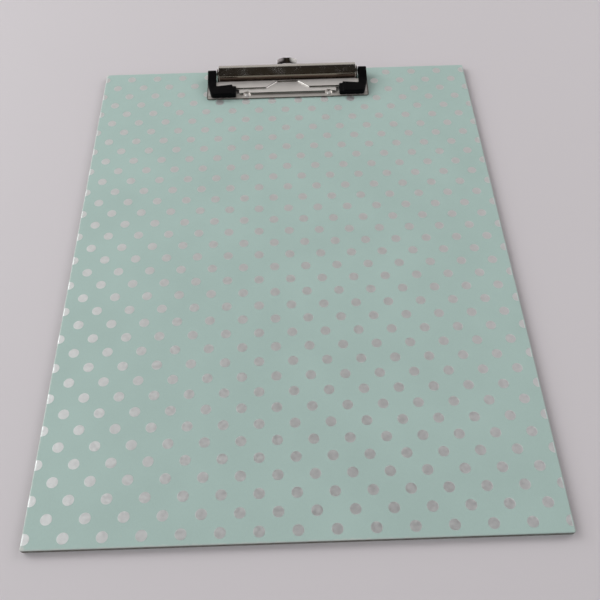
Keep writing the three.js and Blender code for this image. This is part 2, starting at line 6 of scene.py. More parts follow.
import bmesh
import bpy
import numpy as np
from bpy.props import FloatProperty, FloatVectorProperty, IntProperty, PointerProperty
from mathutils import Euler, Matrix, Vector


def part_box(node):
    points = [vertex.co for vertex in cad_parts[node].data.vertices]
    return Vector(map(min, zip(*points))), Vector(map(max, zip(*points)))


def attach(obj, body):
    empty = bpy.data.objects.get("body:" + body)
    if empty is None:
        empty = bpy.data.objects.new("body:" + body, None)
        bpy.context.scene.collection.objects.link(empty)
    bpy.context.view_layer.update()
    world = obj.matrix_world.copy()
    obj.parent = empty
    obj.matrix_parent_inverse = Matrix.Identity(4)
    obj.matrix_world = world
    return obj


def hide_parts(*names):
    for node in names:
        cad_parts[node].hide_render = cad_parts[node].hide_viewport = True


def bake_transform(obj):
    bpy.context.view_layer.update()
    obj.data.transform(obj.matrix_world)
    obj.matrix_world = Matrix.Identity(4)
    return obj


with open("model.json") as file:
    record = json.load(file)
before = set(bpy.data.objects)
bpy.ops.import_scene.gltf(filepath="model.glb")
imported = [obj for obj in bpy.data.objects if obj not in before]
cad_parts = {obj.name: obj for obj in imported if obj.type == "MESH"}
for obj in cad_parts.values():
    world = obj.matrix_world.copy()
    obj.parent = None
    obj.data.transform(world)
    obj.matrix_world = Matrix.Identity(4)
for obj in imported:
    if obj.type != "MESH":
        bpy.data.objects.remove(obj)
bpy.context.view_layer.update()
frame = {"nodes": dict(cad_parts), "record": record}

bl_info = {
    "name": "Clipboard",
    "version": (1, 0, 0),
    "blender": (4, 5, 0),
    "location": "3D View > Sidebar > Clipboard",
    "description": "Builds a paper-covered clipboard and its sprung clip, piece by piece",
    "category": "Add Mesh",
}

MM = 0.001
SIDES = (("left", -1), ("right", 1))
# Points nearer than this to one another are one point.
WELD = 0.001 * MM

# ---------- places taken from the frame ----------

HINGE = Vector(frame["record"]["behaviour"]["joints"][0]["pos_m"])
BOARD_LOW, BOARD_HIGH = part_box("cover_paper")
BASE_LOW, BASE_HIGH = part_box("base_plate")
CLAMP_LOW, CLAMP_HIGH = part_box("clamp_plate")
GRIP_LOW, GRIP_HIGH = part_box("corner_grip_right")
LINER_LOW, LINER_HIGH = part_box("back_liner")
PIN_LOW, PIN_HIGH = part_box("hinge_pin")
SPRING_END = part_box("torsion_spring_right")[1].x - HINGE.x

# The clip's own frame: across from its middle, setback from the board's rear edge, height over the face.
CLIP_MIDDLE = (BASE_LOW.x + BASE_HIGH.x) / 2
HINGE_SETBACK = BOARD_HIGH.y - HINGE.y
HINGE_HEIGHT = HINGE.z - BOARD_HIGH.z
BARREL_RADIUS = CLAMP_HIGH.z - HINGE.z
JAW_FRONT = BOARD_HIGH.y - CLAMP_LOW.y
JAW_HALF_WIDTH = (CLAMP_HIGH.x - CLAMP_LOW.x) / 2
GRIP_INNER = GRIP_LOW.x - CLIP_MIDDLE
GRIP_OUTER = GRIP_HIGH.x - CLIP_MIDDLE
GRIP_FRONT = BOARD_HIGH.y - GRIP_LOW.y
GRIP_BOTTOM = GRIP_LOW.z - BOARD_HIGH.z
PIN_HALF_LENGTH = (PIN_HIGH.x - PIN_LOW.x) / 2
# The upper face of the base plate's flange, which the plate's box doesn't give.
FLANGE_TOP = 0.82 * MM


def points(*coordinates):
    """Points whose coordinates are numbers or arrays, stretched to one shape."""
    return np.stack(np.broadcast_arrays(*coordinates), -1)


def in_clip(across, setback, height):
    """Points of the clip in the part's frame: across to the right of the clip's middle, setback towards the
    reader from the board's rear edge, and height over the board's face."""
    return points(CLIP_MIDDLE + across, BOARD_HIGH.y - setback, BOARD_HIGH.z + height)


# ---------- settings ----------


def length_of(name, description, millimetres):
    """A length that the user can set."""
    return FloatProperty(name=name, description=description, default=millimetres * MM, unit="LENGTH")


def angle_of(name, description, degrees):
    """An angle that the user can set."""
    return FloatProperty(name=name, description=description, default=math.radians(degrees), unit="ROTATION")


def colour_of(name, description, default):
    """A colour that the user can set."""
    return FloatVectorProperty(
        name=name, description=description, default=default, subtype="COLOR", min=0, max=1)


class BoardSettings(bpy.types.PropertyGroup):
    corner_radius: length_of("Corner radius", "Rounding of the board's corners", 1.0)
    edge_radius: length_of("Edge radius", "Rounding of the paper over the board's edges", 0.55)
    paper_thickness: length_of("Paper thickness", "Thickness of the cover paper", 0.25)
    hem_width: length_of("Hem width", "Width of the cover turned in on the back", 16)
    wave_height: length_of("Wave height", "Depth of the cover's shallow waves", 0.07)
    paper_colour: colour_of("Paper colour", "Mint of the cover paper", (0.468, 0.628, 0.583))
    foil_colour: colour_of("Foil colour", "Colour of the foil dots", (0.812, 0.830, 0.828))
    dot_spacing: length_of("Dot spacing", "Distance between the rows of dots, and between the columns", 8.158)
    dot_diameter: length_of("Dot diameter", "Diameter of a foil dot", 5.0)
    dot_origin: FloatVectorProperty(
        name="Dot origin", description="Middle of one dot, from the middle of the board", size=2,
        default=(-32.45 * MM, -147.17 * MM), unit="LENGTH")
    dot_turn: angle_of("Dot turn", "Turn of the whole pattern on the board", 0.12)
    liner_colour: colour_of("Liner colour", "Colour of the sheet on the back", (0.76, 0.745, 0.70))
    greyboard_colour: colour_of("Greyboard colour", "Colour of the core", (0.33, 0.29, 0.25))


class ClipSettings(bpy.types.PropertyGroup):
    sheet_thickness: length_of("Clamp sheet", "Thickness of the clamp plate's sheet", 0.8)
    jaw_top: length_of("Jaw height", "Height of the jaw's upper face over the board", 3.05)
    lip_foot: length_of("Lip foot", "Height of the folded lip's foot over the board", 2.16)
    front_bend: length_of("Front bend", "Outer radius of the jaw's folded front edge", 0.75)
    fillet_radius: length_of("Fillet radius", "Radius of the bend between the jaw and the barrel", 0.9)
    rear_angle: angle_of("Rear angle", "Angle of the barrel's rear edge about the hinge, from the front", 144)
    barrel_length: length_of("Barrel length", "Length of the rolled barrel", 86)
    notch_mouth: length_of("Notch mouth", "Half width of the finger notch at the front", 13.3)
    notch_root: length_of("Notch root", "Half width of the finger notch at its back", 6.6)
    notch_depth: length_of("Notch depth", "Depth of the finger notch", 5.8)
    plate_colour: colour_of("Plate colour", "Colour of the nickel plate", (0.80, 0.775, 0.745))
    wire_colour: colour_of("Wire colour", "Colour of the spring steel", (0.42, 0.41, 0.40))
    rubber_colour: colour_of("Rubber colour", "Colour of the corner grips", (0.0025, 0.0025, 0.003))


class TabSettings(bpy.types.PropertyGroup):
    thickness: length_of("Thickness", "Thickness of the tab's sheet", 0.7)
    half_width: length_of("Half width", "Half width of the tab", 6.35)
    tip_half_width: length_of("Tip half width", "Half width of the tab's tip", 2.2)
    rise: length_of("Rise", "How far the tip curves up", 2.2)
    dish: length_of("Dish", "How far the tip's sides stand over its middle", 1.7)


class SpringSettings(bpy.types.PropertyGroup):
    wire_radius: length_of("Wire radius", "Radius of the spring wire", 0.5)
    coil_radius: length_of("Coil radius", "Radius of the coils to the wire's middle", 2.55)
    coil_pitch: length_of("Coil pitch", "Distance from one turn to the next", 1.12)
    whole_turns: IntProperty(name="Whole turns", description="Whole turns of a coil", default=7)
    seated_leg: length_of("Seated leg", "Length of the leg on the base plate", 5.6)


class StageSettings(bpy.types.PropertyGroup):
    floor_colour: colour_of("Floor colour", "Colour of the table", (0.738, 0.706, 0.731))
    window_power: FloatProperty(
        name="Window power", description="Power of the large light on the left", default=6.7, unit="POWER")
    fill_power: FloatProperty(
        name="Fill power", description="Power of the light on the right", default=2.9, unit="POWER")
    lens: FloatProperty(name="Lens", description="Focal length of the camera", default=44.46, unit="CAMERA")
    camera_place: FloatVectorProperty(
        name="Camera place", description="Where the camera stands", unit="LENGTH",
        default=(1.81 * MM, -245.7 * MM, 310.2 * MM))
    camera_turn: FloatVectorProperty(
        name="Camera turn", description="How the camera is turned", subtype="EULER",
        default=(math.radians(35.03), math.radians(0.73), math.radians(-1.71)))


# ---------- node trees ----------


class Value:
    """An output in a node tree. On a number, Python's operators add the Math nodes."""

    def __init__(self, wiring, socket):
        self.wiring = wiring
        self.socket = socket

    def __add__(self, other):
        return self.wiring.math("ADD", self, other)

    def __sub__(self, other):
        return self.wiring.math("SUBTRACT", self, other)

    def __rsub__(self, other):
        return self.wiring.math("SUBTRACT", other, self)

    def __mul__(self, other):
        return self.wiring.math("MULTIPLY", self, other)

    def __truediv__(self, other):
        return self.wiring.math("DIVIDE", self, other)

    def __abs__(self):
        return self.wiring.math("ABSOLUTE", self)


class Wiring:
    """Adds nodes to one node tree."""

    def __init__(self, tree):
        self.tree = tree
        tree.nodes.clear()

    def node(self, kind, settings=None, sockets=None, output=0):
        """One node: its settings first, then the value or link of each socket. Gives back the output that
        is asked for, or a list of them."""
        node = self.tree.nodes.new(kind)
        for name, setting in (settings or {}).items():
            setattr(node, name, setting)
        for name, value in (sockets or {}).items():
            if isinstance(value, Value):
                self.tree.links.new(value.socket, node.inputs[name])
            else:
                node.inputs[name].default_value = value
        if isinstance(output, tuple):
            return [Value(self, node.outputs[name]) for name in output]
        return Value(self, node.outputs[output]) if node.outputs else None

    def coordinates(self, kind):
        """One output of a Texture Coordinate node."""
        return self.node("ShaderNodeTexCoord", output=kind)

    def math(self, operation, *numbers):
        """The result of one Math node."""
        return self.node("ShaderNodeMath", {"operation": operation}, dict(enumerate(numbers)))

    def split(self, vector):
        """The three numbers of a vector."""
        return self.node("ShaderNodeSeparateXYZ", sockets={"Vector": vector}, output=("X", "Y", "Z"))

    def scaled(self, vector, scale):
        """A vector with each of its numbers multiplied."""
        return self.node("ShaderNodeVectorMath", {"operation": "MULTIPLY"}, {0: vector, 1: scale})

    def ramp(self, value, low, high, bottom=0.0, top=1.0):
        """Smooth step from bottom to top as the value goes from low to high."""
        return self.node("ShaderNodeMapRange", {"interpolation_type": "SMOOTHSTEP"}, {
            "Value": value, "From Min": low, "From Max": high, "To Min": bottom, "To Max": top})

    def noise(self, vector, size, detail, roughness):
        """Noise between 0 and 1, with lumps of about the given size in metres."""
        return self.node("ShaderNodeTexNoise", sockets={
            "Vector": vector, "Scale": 1 / size, "Detail": detail, "Roughness": roughness})

    def specks(self, vector, size, detail, roughness, low, high):
        """Small spots where the noise is high: 0 where it is under low, and 1 over high."""
        return self.ramp(self.noise(vector, size, detail, roughness), low, high)

    def mix(self, share, first, second):
        """A colour between two colours."""
        return self.node("ShaderNodeMix", {"data_type": "RGBA"}, {0: share, 6: first, 7: second}, output=2)

    def bump(self, height, depth, normal=None):
        """A normal tilted by a height that runs from 0 to 1 over the given depth in metres."""
        sockets = {"Height": height, "Distance": depth, "Strength": 1.0}
        if normal is not None:
            sockets["Normal"] = normal
        return self.node("ShaderNodeBump", sockets=sockets)


def finish(name, dress, **constants):
    """A material with one principled shader: constants go straight onto its sockets, and dress(wiring,
    place) gives the values that change over the surface, from a place in Object coordinates."""
    material = bpy.data.materials.new(name)
    material.use_nodes = True
    wiring = Wiring(material.node_tree)
    sockets = {socket.replace("_", " "): value for socket, value in constants.items()}
    sockets.update(dress(wiring, wiring.coordinates("Object")))
    shader = wiring.node("ShaderNodeBsdfPrincipled", sockets=sockets)
    wiring.node("ShaderNodeOutputMaterial", sockets={"Surface": shader})
    return material


def tint(colour, gain=1.0):
    """A colour with an alpha, brighter or darker by a gain."""
    return (*(min(1.0, channel * gain) for channel in colour), 1.0)


# ---------- finishes ----------

PAPER_SPECK = (0.62, 0.68, 0.64, 1)
PALE_EDGE_WEAR_AND_HIGHLIGHT = (0.70, 0.715, 0.68, 1)
PAINTED_SIDE_SHADE = (0.085, 0.066, 0.050, 1)
DUST = (0.32, 0.31, 0.30, 1)
PAINTED_AMBER_REFLECTION = (0.42, 0.27, 0.20, 1)
PAINTED_CREASE_SHADE = (0.075, 0.052, 0.038, 1)
FRONT_STRIP_BROWN = (0.25, 0.22, 0.19, 1)
PAINTED_RISER_SHADE = (0.10, 0.08, 0.065, 1)
PAINTED_EDGE_SHADOW = (0.06, 0.05, 0.045, 1)


def mint_paper(board):
    """Satin mint paper with staggered dots in silver foil: a dot lies on every point of a square lattice
    that is turned by 45 degrees. The paper is fibrous and pale along the board's edges, most on the left:
    partly wear, partly a painted highlight where the rounded edge catches the light. Its upright sides are
    darkened brown with painted shade. The foil is crinkled, and wears away just short of the edge on the
    right."""

    def dress(wiring, place):
        x, y, _ = wiring.split(place)
        cosine, sine = math.cos(board.dot_turn), math.sin(board.dot_turn)
        east = (x - board.dot_origin[0]) / board.dot_spacing
        north = (y - board.dot_origin[1]) / board.dot_spacing
        column = east * cosine + north * sine
        row = north * cosine - east * sine
        first, second = [
            value - wiring.math("ROUND", value) for value in ((column + row) * 0.5, (column - row) * 0.5)]
        distance = wiring.math("SQRT", (first * first + second * second) * 2.0)
        ragged = wiring.noise(place, 0.55 * MM, 3.0, 0.7)
        radius = distance * board.dot_spacing + (ragged - 0.5) * (0.22 * MM)
        half, blur = board.dot_diameter / 2, 0.07 * MM
        foil = wiring.ramp(radius, half + blur, half - blur)
        pinholes = wiring.specks(place, 0.33 * MM, 2.0, 0.6, 0.69, 0.74)
        foil = foil * (1 - pinholes * 0.8)

        fibre = wiring.noise(wiring.scaled(place, (1.0, 0.35, 1.0)), 0.42 * MM, 4.0, 0.65)
        cloud = wiring.noise(place, 38 * MM, 3.0, 0.55)
        shade = wiring.ramp(fibre * 0.45 + cloud * 0.55, 0.3, 0.7)
        paper = wiring.mix(shade, tint(board.paper_colour, 0.955), tint(board.paper_colour, 1.035))
        paper = wiring.mix(wiring.specks(place, 1.3 * MM, 2.0, 0.5, 0.70, 0.78) * 0.18, paper, PAPER_SPECK)

        from_side = BOARD_HIGH.x - abs(x)
        from_end = BOARD_HIGH.y - abs(y)
        from_edge = wiring.math("MINIMUM", from_side, from_end)
        scuff = wiring.noise(place, 2.6 * MM, 4.0, 0.7)
        # A pale line along the outline, and pale corners: partly wear, partly a painted highlight where the
        # rounded edge catches the light.
        rubbed_and_lit_edge = wiring.ramp(from_edge + (scuff - 0.5) * (2.0 * MM), 0.9 * MM, 0.1 * MM)
        knocked = wiring.ramp(from_side + from_end + (scuff - 0.5) * (5 * MM), 4.2 * MM, 1.8 * MM)
        # The pale edge is strongest on the left, where the light falls on it.
        handled = wiring.ramp(x, 20 * MM, 100 * MM, 1.0, 0.2)
        pale_wear_and_highlight = wiring.math("MAXIMUM", rubbed_and_lit_edge * 0.55, knocked * 0.8) * handled
        paper = wiring.mix(pale_wear_and_highlight, paper, PALE_EDGE_WEAR_AND_HIGHLIGHT)
        # Upright faces are darkened brown in patches: painted shade on the board's sides.
        upright = wiring.split(wiring.coordinates("Normal"))[2]
        painted_side_shade = wiring.ramp(abs(upright), 0.62, 0.25) * wiring.ramp(scuff, 0.25, 0.75, 0.97, 0.75)
        paper = wiring.mix(painted_side_shade, paper, PAINTED_SIDE_SHADE)

        crinkle = wiring.noise(place, 1.6 * MM, 3.0, 0.6)
        silver = wiring.mix(crinkle, tint(board.foil_colour, 0.93), tint(board.foil_colour, 1.05))
        rough = wiring.ramp(fibre, 0.2, 0.8, 0.50, 0.64)
        foil_rough = wiring.ramp(crinkle, 0.3, 0.7, 0.36, 0.48)
        foil = foil * (1 - pale_wear_and_highlight) * (1 - painted_side_shade * 0.85) * wiring.ramp(BOARD_HIGH.x - x, 0.4 * MM, 0.9 * MM)
        grain = wiring.bump(fibre, 0.012 * MM)
        return {
            "Base Color": wiring.mix(foil, paper, silver),
            "Metallic": foil * 0.72,
            "Roughness": rough * (1 - foil) + foil_rough * foil,
            "Normal": wiring.bump(foil * 0.45 + crinkle * foil * 0.5, 0.030 * MM, grain),
        }

    return finish("dotted_mint_paper", dress, Specular_IOR_Level=0.42)


def matt_paper(name, colour, grain_size, grain_depth):
    """Unglazed paper or board: long fibres, a cloudy tone and a few dark flecks."""

    def dress(wiring, place):
        fibre = wiring.noise(wiring.scaled(place, (0.4, 1.0, 1.0)), grain_size, 5.0, 0.7)
        cloud = wiring.noise(place, 45 * MM, 3.0, 0.5)
        fleck = wiring.specks(place, 0.9 * MM, 2.0, 0.5, 0.70, 0.76)
        shade = wiring.ramp(fibre * 0.6 + cloud * 0.4, 0.3, 0.7)
        tone = wiring.mix(shade, tint(colour, 0.92), tint(colour, 1.05))
        return {
            "Base Color": wiring.mix(fleck * 0.35, tone, tint(colour, 0.55)),
            "Roughness": wiring.ramp(fibre, 0.2, 0.8, 0.78, 0.92),
            "Normal": wiring.bump(fibre, grain_depth),
        }

    return finish(name, dress, Specular_IOR_Level=0.3)


def with_painted_shade(wiring, place, tone):
    """The tone of the clip's plates with painted shade and a painted reflection: a brownish painted
    reflection low on the barrel's front, painted shade in the hollow between the jaw and the barrel and on
    the upright faces of the base plate's front step, and a painted shadow along the plate's two sides.
    Everything in front of the step is darkened brown. Gives the tone, the level faces in front of the barrel,
    and the hollow's painted shade."""
    x, y, z = wiring.split(place)
    height = z - BOARD_HIGH.z
    setback = BOARD_HIGH.y - y
    upright = wiring.split(wiring.coordinates("Normal"))[2]
    in_front = wiring.ramp(setback, 10.5 * MM, 12 * MM)
    level = wiring.ramp(height, 4.0 * MM, 3.3 * MM) * wiring.ramp(upright, 0.975, 0.995) * in_front
    # Painted shade in the hollow between the jaw and the barrel.
    crease_shade = wiring.ramp(height, 6.2 * MM, 4.3 * MM) * wiring.ramp(setback, 14.6 * MM, 13.9 * MM) * in_front
    # A brownish painted reflection low on the barrel's front.
    amber_reflection = wiring.ramp(height, 7.0 * MM, 6.0 * MM) * wiring.ramp(setback, 14.0 * MM, 13.4 * MM) * in_front
    # Everything in front of the base plate's step is darkened brown.
    step = wiring.ramp(setback, 24.0 * MM, 24.8 * MM)
    # Painted shade on the upright faces in front of the step.
    riser_shade = wiring.ramp(upright, 0.97, 0.80) * step
    # A painted shadow line along the base plate's two sides, low down.
    side = wiring.ramp(abs(x - CLIP_MIDDLE), 49.8 * MM, 50.2 * MM) * wiring.ramp(height, 1.4 * MM, 1.2 * MM)
    for share, brown in (
            (amber_reflection * 0.8, PAINTED_AMBER_REFLECTION), (crease_shade * 0.88, PAINTED_CREASE_SHADE), (step * 0.45, FRONT_STRIP_BROWN),
            (riser_shade * 0.8, PAINTED_RISER_SHADE), (side * 0.85, PAINTED_EDGE_SHADOW)):
        tone = wiring.mix(share, tone, brown)
    return tone, level, crease_shade


def plated_steel(name, colour, roughness, brushed, metal=1.0, satin=False):
    """Bright plate on rolled steel: faint rolling lines across the clip, hairline scratches, and a thin
    haze with fingermarks that dulls it in patches. With satin set, the level faces in front of the barrel
    are brushed to a satin, and the folds get painted shade and a painted reflection."""

    def dress(wiring, place):
        lines = wiring.noise(wiring.scaled(place, (0.02, 1.0, 1.0)), 0.22 * MM, 3.0, 0.7)
        haze = wiring.noise(place, 7 * MM, 4.0, 0.6)
        spots = wiring.specks(place, 0.8 * MM, 3.0, 0.6, 0.66, 0.74)
        scratch_field = wiring.noise(wiring.scaled(place, (0.3, 1.0, 1.0)), 1.1 * MM, 2.0, 0.5)
        scratches = wiring.ramp(abs(scratch_field - 0.5), 0.006, 0.0)
        tone = wiring.mix(haze, tint(colour, 0.93), tint(colour, 1.06))
        tone = wiring.mix(spots * 0.25, tone, tint(colour, 0.62))
        rough = wiring.ramp(haze, 0.35, 0.75, roughness, roughness * 2.2) + scratches * 0.12 + spots * 0.1
        rough = rough + (lines - 0.5) * brushed
        share = metal
        if satin:
            tone, level, crease_shade = with_painted_shade(wiring, place, tone)
            rough = rough + level * 0.24 + crease_shade * 0.1
            share = metal - level * 0.5
        return {
            "Base Color": tone,
            "Metallic": share,
            "Roughness": rough,
            "Normal": wiring.bump(lines, 0.0016 * MM + 0.01 * MM * brushed),
        }

    return finish(name, dress)


def clip_metal(name, clip):
    """A metal finish of the clip, made when it is first asked for. None has the name of a frame's slot."""
    dulled = [channel * 0.72 for channel in clip.plate_colour]
    finishes = {
        "bright_nickel": (clip.plate_colour, 0.10, 0.03, 1.0, True),
        "tumbled_nickel": (dulled, 0.46, 0.06, 0.55),
        "polished_nickel": (clip.plate_colour, 0.07, 0.02),
        "drawn_wire": (clip.wire_colour, 0.24, 0.12),
    }
    return bpy.data.materials.get(name) or plated_steel(name, *finishes[name])


def black_moulding(colour):
    """Smooth black rubber with a fine moulded grain, handled to a slight gloss, with a little dust."""

    def dress(wiring, place):
        grain = wiring.noise(place, 0.25 * MM, 3.0, 0.6)
        handled = wiring.noise(place, 5 * MM, 3.0, 0.6)
        dust = wiring.specks(place, 0.5 * MM, 3.0, 0.7, 0.66, 0.78)
        return {
            "Base Color": wiring.mix(dust * 0.03 + handled * 0.004, tint(colour), DUST),
            "Roughness": wiring.ramp(handled, 0.3, 0.7, 0.36, 0.52) + dust * 0.15,
            "Normal": wiring.bump(grain, 0.006 * MM),
        }

    return finish("grip_rubber", dress, Specular_IOR_Level=0.05)


def table_top(colour):
    """Satin painted table: a faint cloudy tone and a very fine texture."""

    def dress(wiring, place):
        cloud = wiring.noise(place, 0.22, 3.0, 0.5)
        fine = wiring.noise(place, 0.7 * MM, 3.0, 0.6)
        return {
            "Base Color": wiring.mix(cloud, tint(colour, 0.985), tint(colour, 1.015)),
            "Roughness": wiring.ramp(fine, 0.3, 0.7, 0.55, 0.65),
            "Normal": wiring.bump(fine, 0.008 * MM),
        }

    return finish("table_top", dress, Specular_IOR_Level=0.5)


def room_light(world):
    """The room round the table: pale on the left, dimmer on the right, with a bright window pane on each
    side and a warm back wall. It is dark overhead, and a dark beam crosses it on the right."""
    world.use_nodes = True
    wiring = Wiring(world.node_tree)
    east, north, up = wiring.split(wiring.coordinates("Generated"))
    rightward = wiring.ramp(east, -0.15, 0.15)
    side_wall = wiring.mix(rightward, (0.64, 0.635, 0.635, 1), (0.36, 0.335, 0.35, 1))
    pane = wiring.mix(rightward, (1.22, 1.22, 1.22, 1), (0.95, 0.94, 0.95, 1))
    off_middle = wiring.ramp(abs(east), 0.05, 0.11)
    ceiling = wiring.mix(off_middle, (0.026, 0.021, 0.015, 1), (0.010, 0.008, 0.006, 1))
    colour = wiring.mix(wiring.ramp(abs(east), 0.14, 0.42), ceiling, side_wall)
    colour = wiring.mix(wiring.ramp(abs(east), 0.46, 0.60) * wiring.ramp(up, 0.10, 0.20), colour, pane)
    colour = wiring.mix(wiring.ramp(north, 0.54, 0.68), colour, (0.46, 0.44, 0.415, 1))
    beam = wiring.ramp(north, 0.41, 0.33) * wiring.ramp(north, -0.05, 0.12)
    beam = beam * wiring.ramp(east, -0.02, 0.06) * wiring.ramp(east, 0.95, 0.85)
    colour = wiring.mix(beam, colour, (0.02, 0.016, 0.016, 1))
    room = wiring.node("ShaderNodeBackground", sockets={"Color": colour, "Strength": 1.0})
    wiring.node("ShaderNodeOutputWorld", sockets={"Surface": room})


# ---------- surfaces ----------


class Shell:
    """Gathers grids of points into one mesh, and welds them where they meet."""

    def __init__(self):
        self.points = []
        self.faces = []
        self.count = 0

    def grid(self, rows_of_points, around=False, skip=None):
        """Four-sided faces over rows and columns of points. The columns close into a ring if around is set,
        and rows a to b of columns c to d are left out if skip is (a, b, c, d). Gives the shell."""
        rows, columns = rows_of_points.shape[:2]
        index = self.count + np.arange(rows * columns).reshape(rows, columns)
        if around:
            index = np.hstack([index, index[:, :1]])
        quads = np.stack([index[:-1, :-1], index[:-1, 1:], index[1:, 1:], index[1:, :-1]], -1)
        kept = np.ones(quads.shape[:2], bool)
        if skip:
            kept[skip[0]:skip[1], skip[2]:skip[3]] = False
        self.points.append(rows_of_points.reshape(-1, 3))
        self.faces += quads[kept].tolist()
        self.count += rows * columns
        return self

    def cap(self, ring):
        """One flat face over a closed ring of points."""
        self.points.append(ring)
        self.faces.append(list(range(self.count, self.count + len(ring))))
        self.count += len(ring)

    def build(self, name, upward=None):
        """The object: doubles merged, and faces turned outwards, or up or down where upward is 1 or -1."""
        mesh = bpy.data.meshes.new(name)
        mesh.from_pydata(np.concatenate(self.points).tolist(), [], self.faces)
        work = bmesh.new()
        work.from_mesh(mesh)
        bmesh.ops.remove_doubles(work, verts=work.verts, dist=WELD)
        bmesh.ops.dissolve_degenerate(work, edges=work.edges, dist=WELD / 2)
        bmesh.ops.recalc_face_normals(work, faces=work.faces)
        if upward is not None:
            lift = sum(face.normal.z * face.calc_area() for face in work.faces)
            if lift * upward < 0:
                bmesh.ops.reverse_faces(work, faces=work.faces)
        work.to_mesh(mesh)
        work.free()
        mesh.shade_smooth()
        piece = bpy.data.objects.new(name, mesh)
        bpy.context.collection.objects.link(piece)
        return piece


def smooth(value, low, high):
    """Smooth step from 0 to 1 as the value goes from low to high."""
    share = np.clip((value - low) / (high - low), 0, 1)
    return share * share * (3 - 2 * share)


def arc(first, last, steps):
    """Angles in radians, evenly spaced, from the first to the last in degrees."""
    return np.radians(np.linspace(first, last, steps + 1))


def full_turn(steps):
    """Angles in radians, evenly spaced round a circle from its back, without repeating the first."""
    return np.linspace(-np.pi, np.pi, steps + 1)[:-1]


def rounded_rectangle(half_x, half_y, radius, corner_steps, x_steps, y_steps):
    """Points round a rectangle with rounded corners, anticlockwise. Half sizes and radius may be columns of
    numbers, one for each ring: quarter arcs about the corner centres, joined by evenly divided sides."""
    quarter = arc(0, 90, corner_steps)
    angles = np.concatenate([quarter + np.pi / 2 * turn for turn in range(4)])
    right = np.repeat([1, -1, -1, 1], corner_steps + 1)
    far = np.repeat([1, 1, -1, -1], corner_steps + 1)
    keys = points(right * (half_x - radius) + radius * np.cos(angles),
                  far * (half_y - radius) + radius * np.sin(angles))
    stretch = np.concatenate([np.arange(corner_steps), corner_steps + np.arange(x_steps) / x_steps])
    upright = np.concatenate([np.arange(corner_steps), corner_steps + np.arange(y_steps) / y_steps])
    along = np.concatenate([
        turn * (corner_steps + 1) + (stretch if turn % 2 == 0 else upright) for turn in range(4)])
    place = np.floor(along).astype(int)
    share = (along - place)[:, None]
    return keys[..., place, :] * (1 - share) + keys[..., (place + 1) % keys.shape[-2], :] * share


def rounded_path(corners, radii, arc_steps, spacing):
    """An open line through the corners, each inner one rounded by an arc tangent to both its sides. Gives
    the points and the normal on the left of the way at each."""
    corners = np.array(corners, float)
    ways = np.diff(corners, axis=0)
    headings = np.arctan2(ways[:, 1], ways[:, 0])
    turns = (np.diff(headings) + np.pi) % (2 * np.pi) - np.pi
    cuts = np.abs(np.array(radii) * np.tan(turns / 2))
    unit = points(np.cos(headings), np.sin(headings))
    starts = corners[:-1] + unit * np.concatenate([[0], cuts])[:, None]
    ends = corners[1:] - unit * np.concatenate([cuts, [0]])[:, None]
    stretches, courses = [], []
    for number, (start, end) in enumerate(zip(starts, ends)):
        count = max(1, math.ceil(np.hypot(*(end - start)) / spacing))
        stretches.append(start + np.linspace(0, 1, count + 1)[:, None] * (end - start))
        courses.append(np.full(count + 1, headings[number]))
        if number < len(turns):
            course = headings[number] + turns[number] * np.linspace(0, 1, arc_steps + 1)[1:-1]
            reach = np.sign(turns[number]) * radii[number]
            middle = end + reach * np.array([-math.sin(headings[number]), math.cos(headings[number])])
            stretches.append(middle - reach * points(-np.sin(course), np.cos(course)))
            courses.append(course)
    course = np.concatenate(courses)
    return np.concatenate(stretches), points(-np.sin(course), np.cos(course))


def turned(profile, steps):
    """A profile of (radius, height) carried round the upright axis."""
    angles = np.linspace(0, 2 * np.pi, steps, endpoint=False)
    radius, height = np.array(profile, float).T
    return points(radius[:, None] * np.cos(angles), radius[:, None] * np.sin(angles), height[:, None])


def dome(rim, rise, top, steps):
    """Half section of a low dome as (radius, height), from its rim to its top: part of a circle."""
    sphere = (rim ** 2 + rise ** 2) / (2 * rise)
    angles = np.linspace(math.asin(rim / sphere), 0, steps + 1)
    return points(sphere * np.sin(angles), top - sphere + sphere * np.cos(angles))


def circle(across, along, radius, angles):
    """Points at the given angles of a circle about the point (across, along)."""
    return points(across + radius * np.cos(angles), along + radius * np.sin(angles))


def hole_ring(plan, block, hole, rows):
    """Rings from the edge of a block of a grid to a hole's edge: each point of the block's edge goes
    straight to the hole's point in the same direction from the hole's middle."""
    first, last, left, right = block
    edge = np.concatenate([
        plan[first, left:right], plan[first:last, right],
        plan[last, right:left:-1], plan[last:first:-1, left]])[:, :2]
    middle = hole.mean(0)
    bearing = np.arctan2(*(hole - middle).T[::-1])
    order = np.argsort(bearing)
    wanted = np.arctan2(*(edge - middle).T[::-1])
    rim = points(*(np.interp(wanted, bearing[order], hole[order, axis], period=2 * np.pi) for axis in (0, 1)))
    share = np.linspace(0, 1, rows + 1)[:, None, None]
    return edge * (1 - share) + rim * share


def thicken(piece, thickness, offset):
    """Gives a sheet its thickness, on its lower side for offset -1 or on both for 0."""
    solid = piece.modifiers.new("thickness", "SOLIDIFY")
    solid.thickness = thickness
    solid.offset = offset
    solid.use_even_offset = True
    solid.use_quality_normals = True


def soften(piece, width, segments):
    """Rounds the edges that turn by more than 50 degrees."""
    bevel = piece.modifiers.new("edges", "BEVEL")
    bevel.limit_method = "ANGLE"
    bevel.angle_limit = math.radians(50)
    bevel.width = width
    bevel.segments = segments
    bevel.harden_normals = True
    bevel.use_clamp_overlap = True


def settle(piece, body, material, replaced):
    """Gives a piece its material, the body it rides on, and the node it stands for."""
    piece.data.materials.append(material)
    if body:
        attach(piece, body)
    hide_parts(replaced)


def dress_node(name, material):
    """Gives a node of the frame a new material."""
    node = frame["nodes"][name]
    node.data.materials.clear()
    node.data.materials.append(material)


# ---------- operators ----------


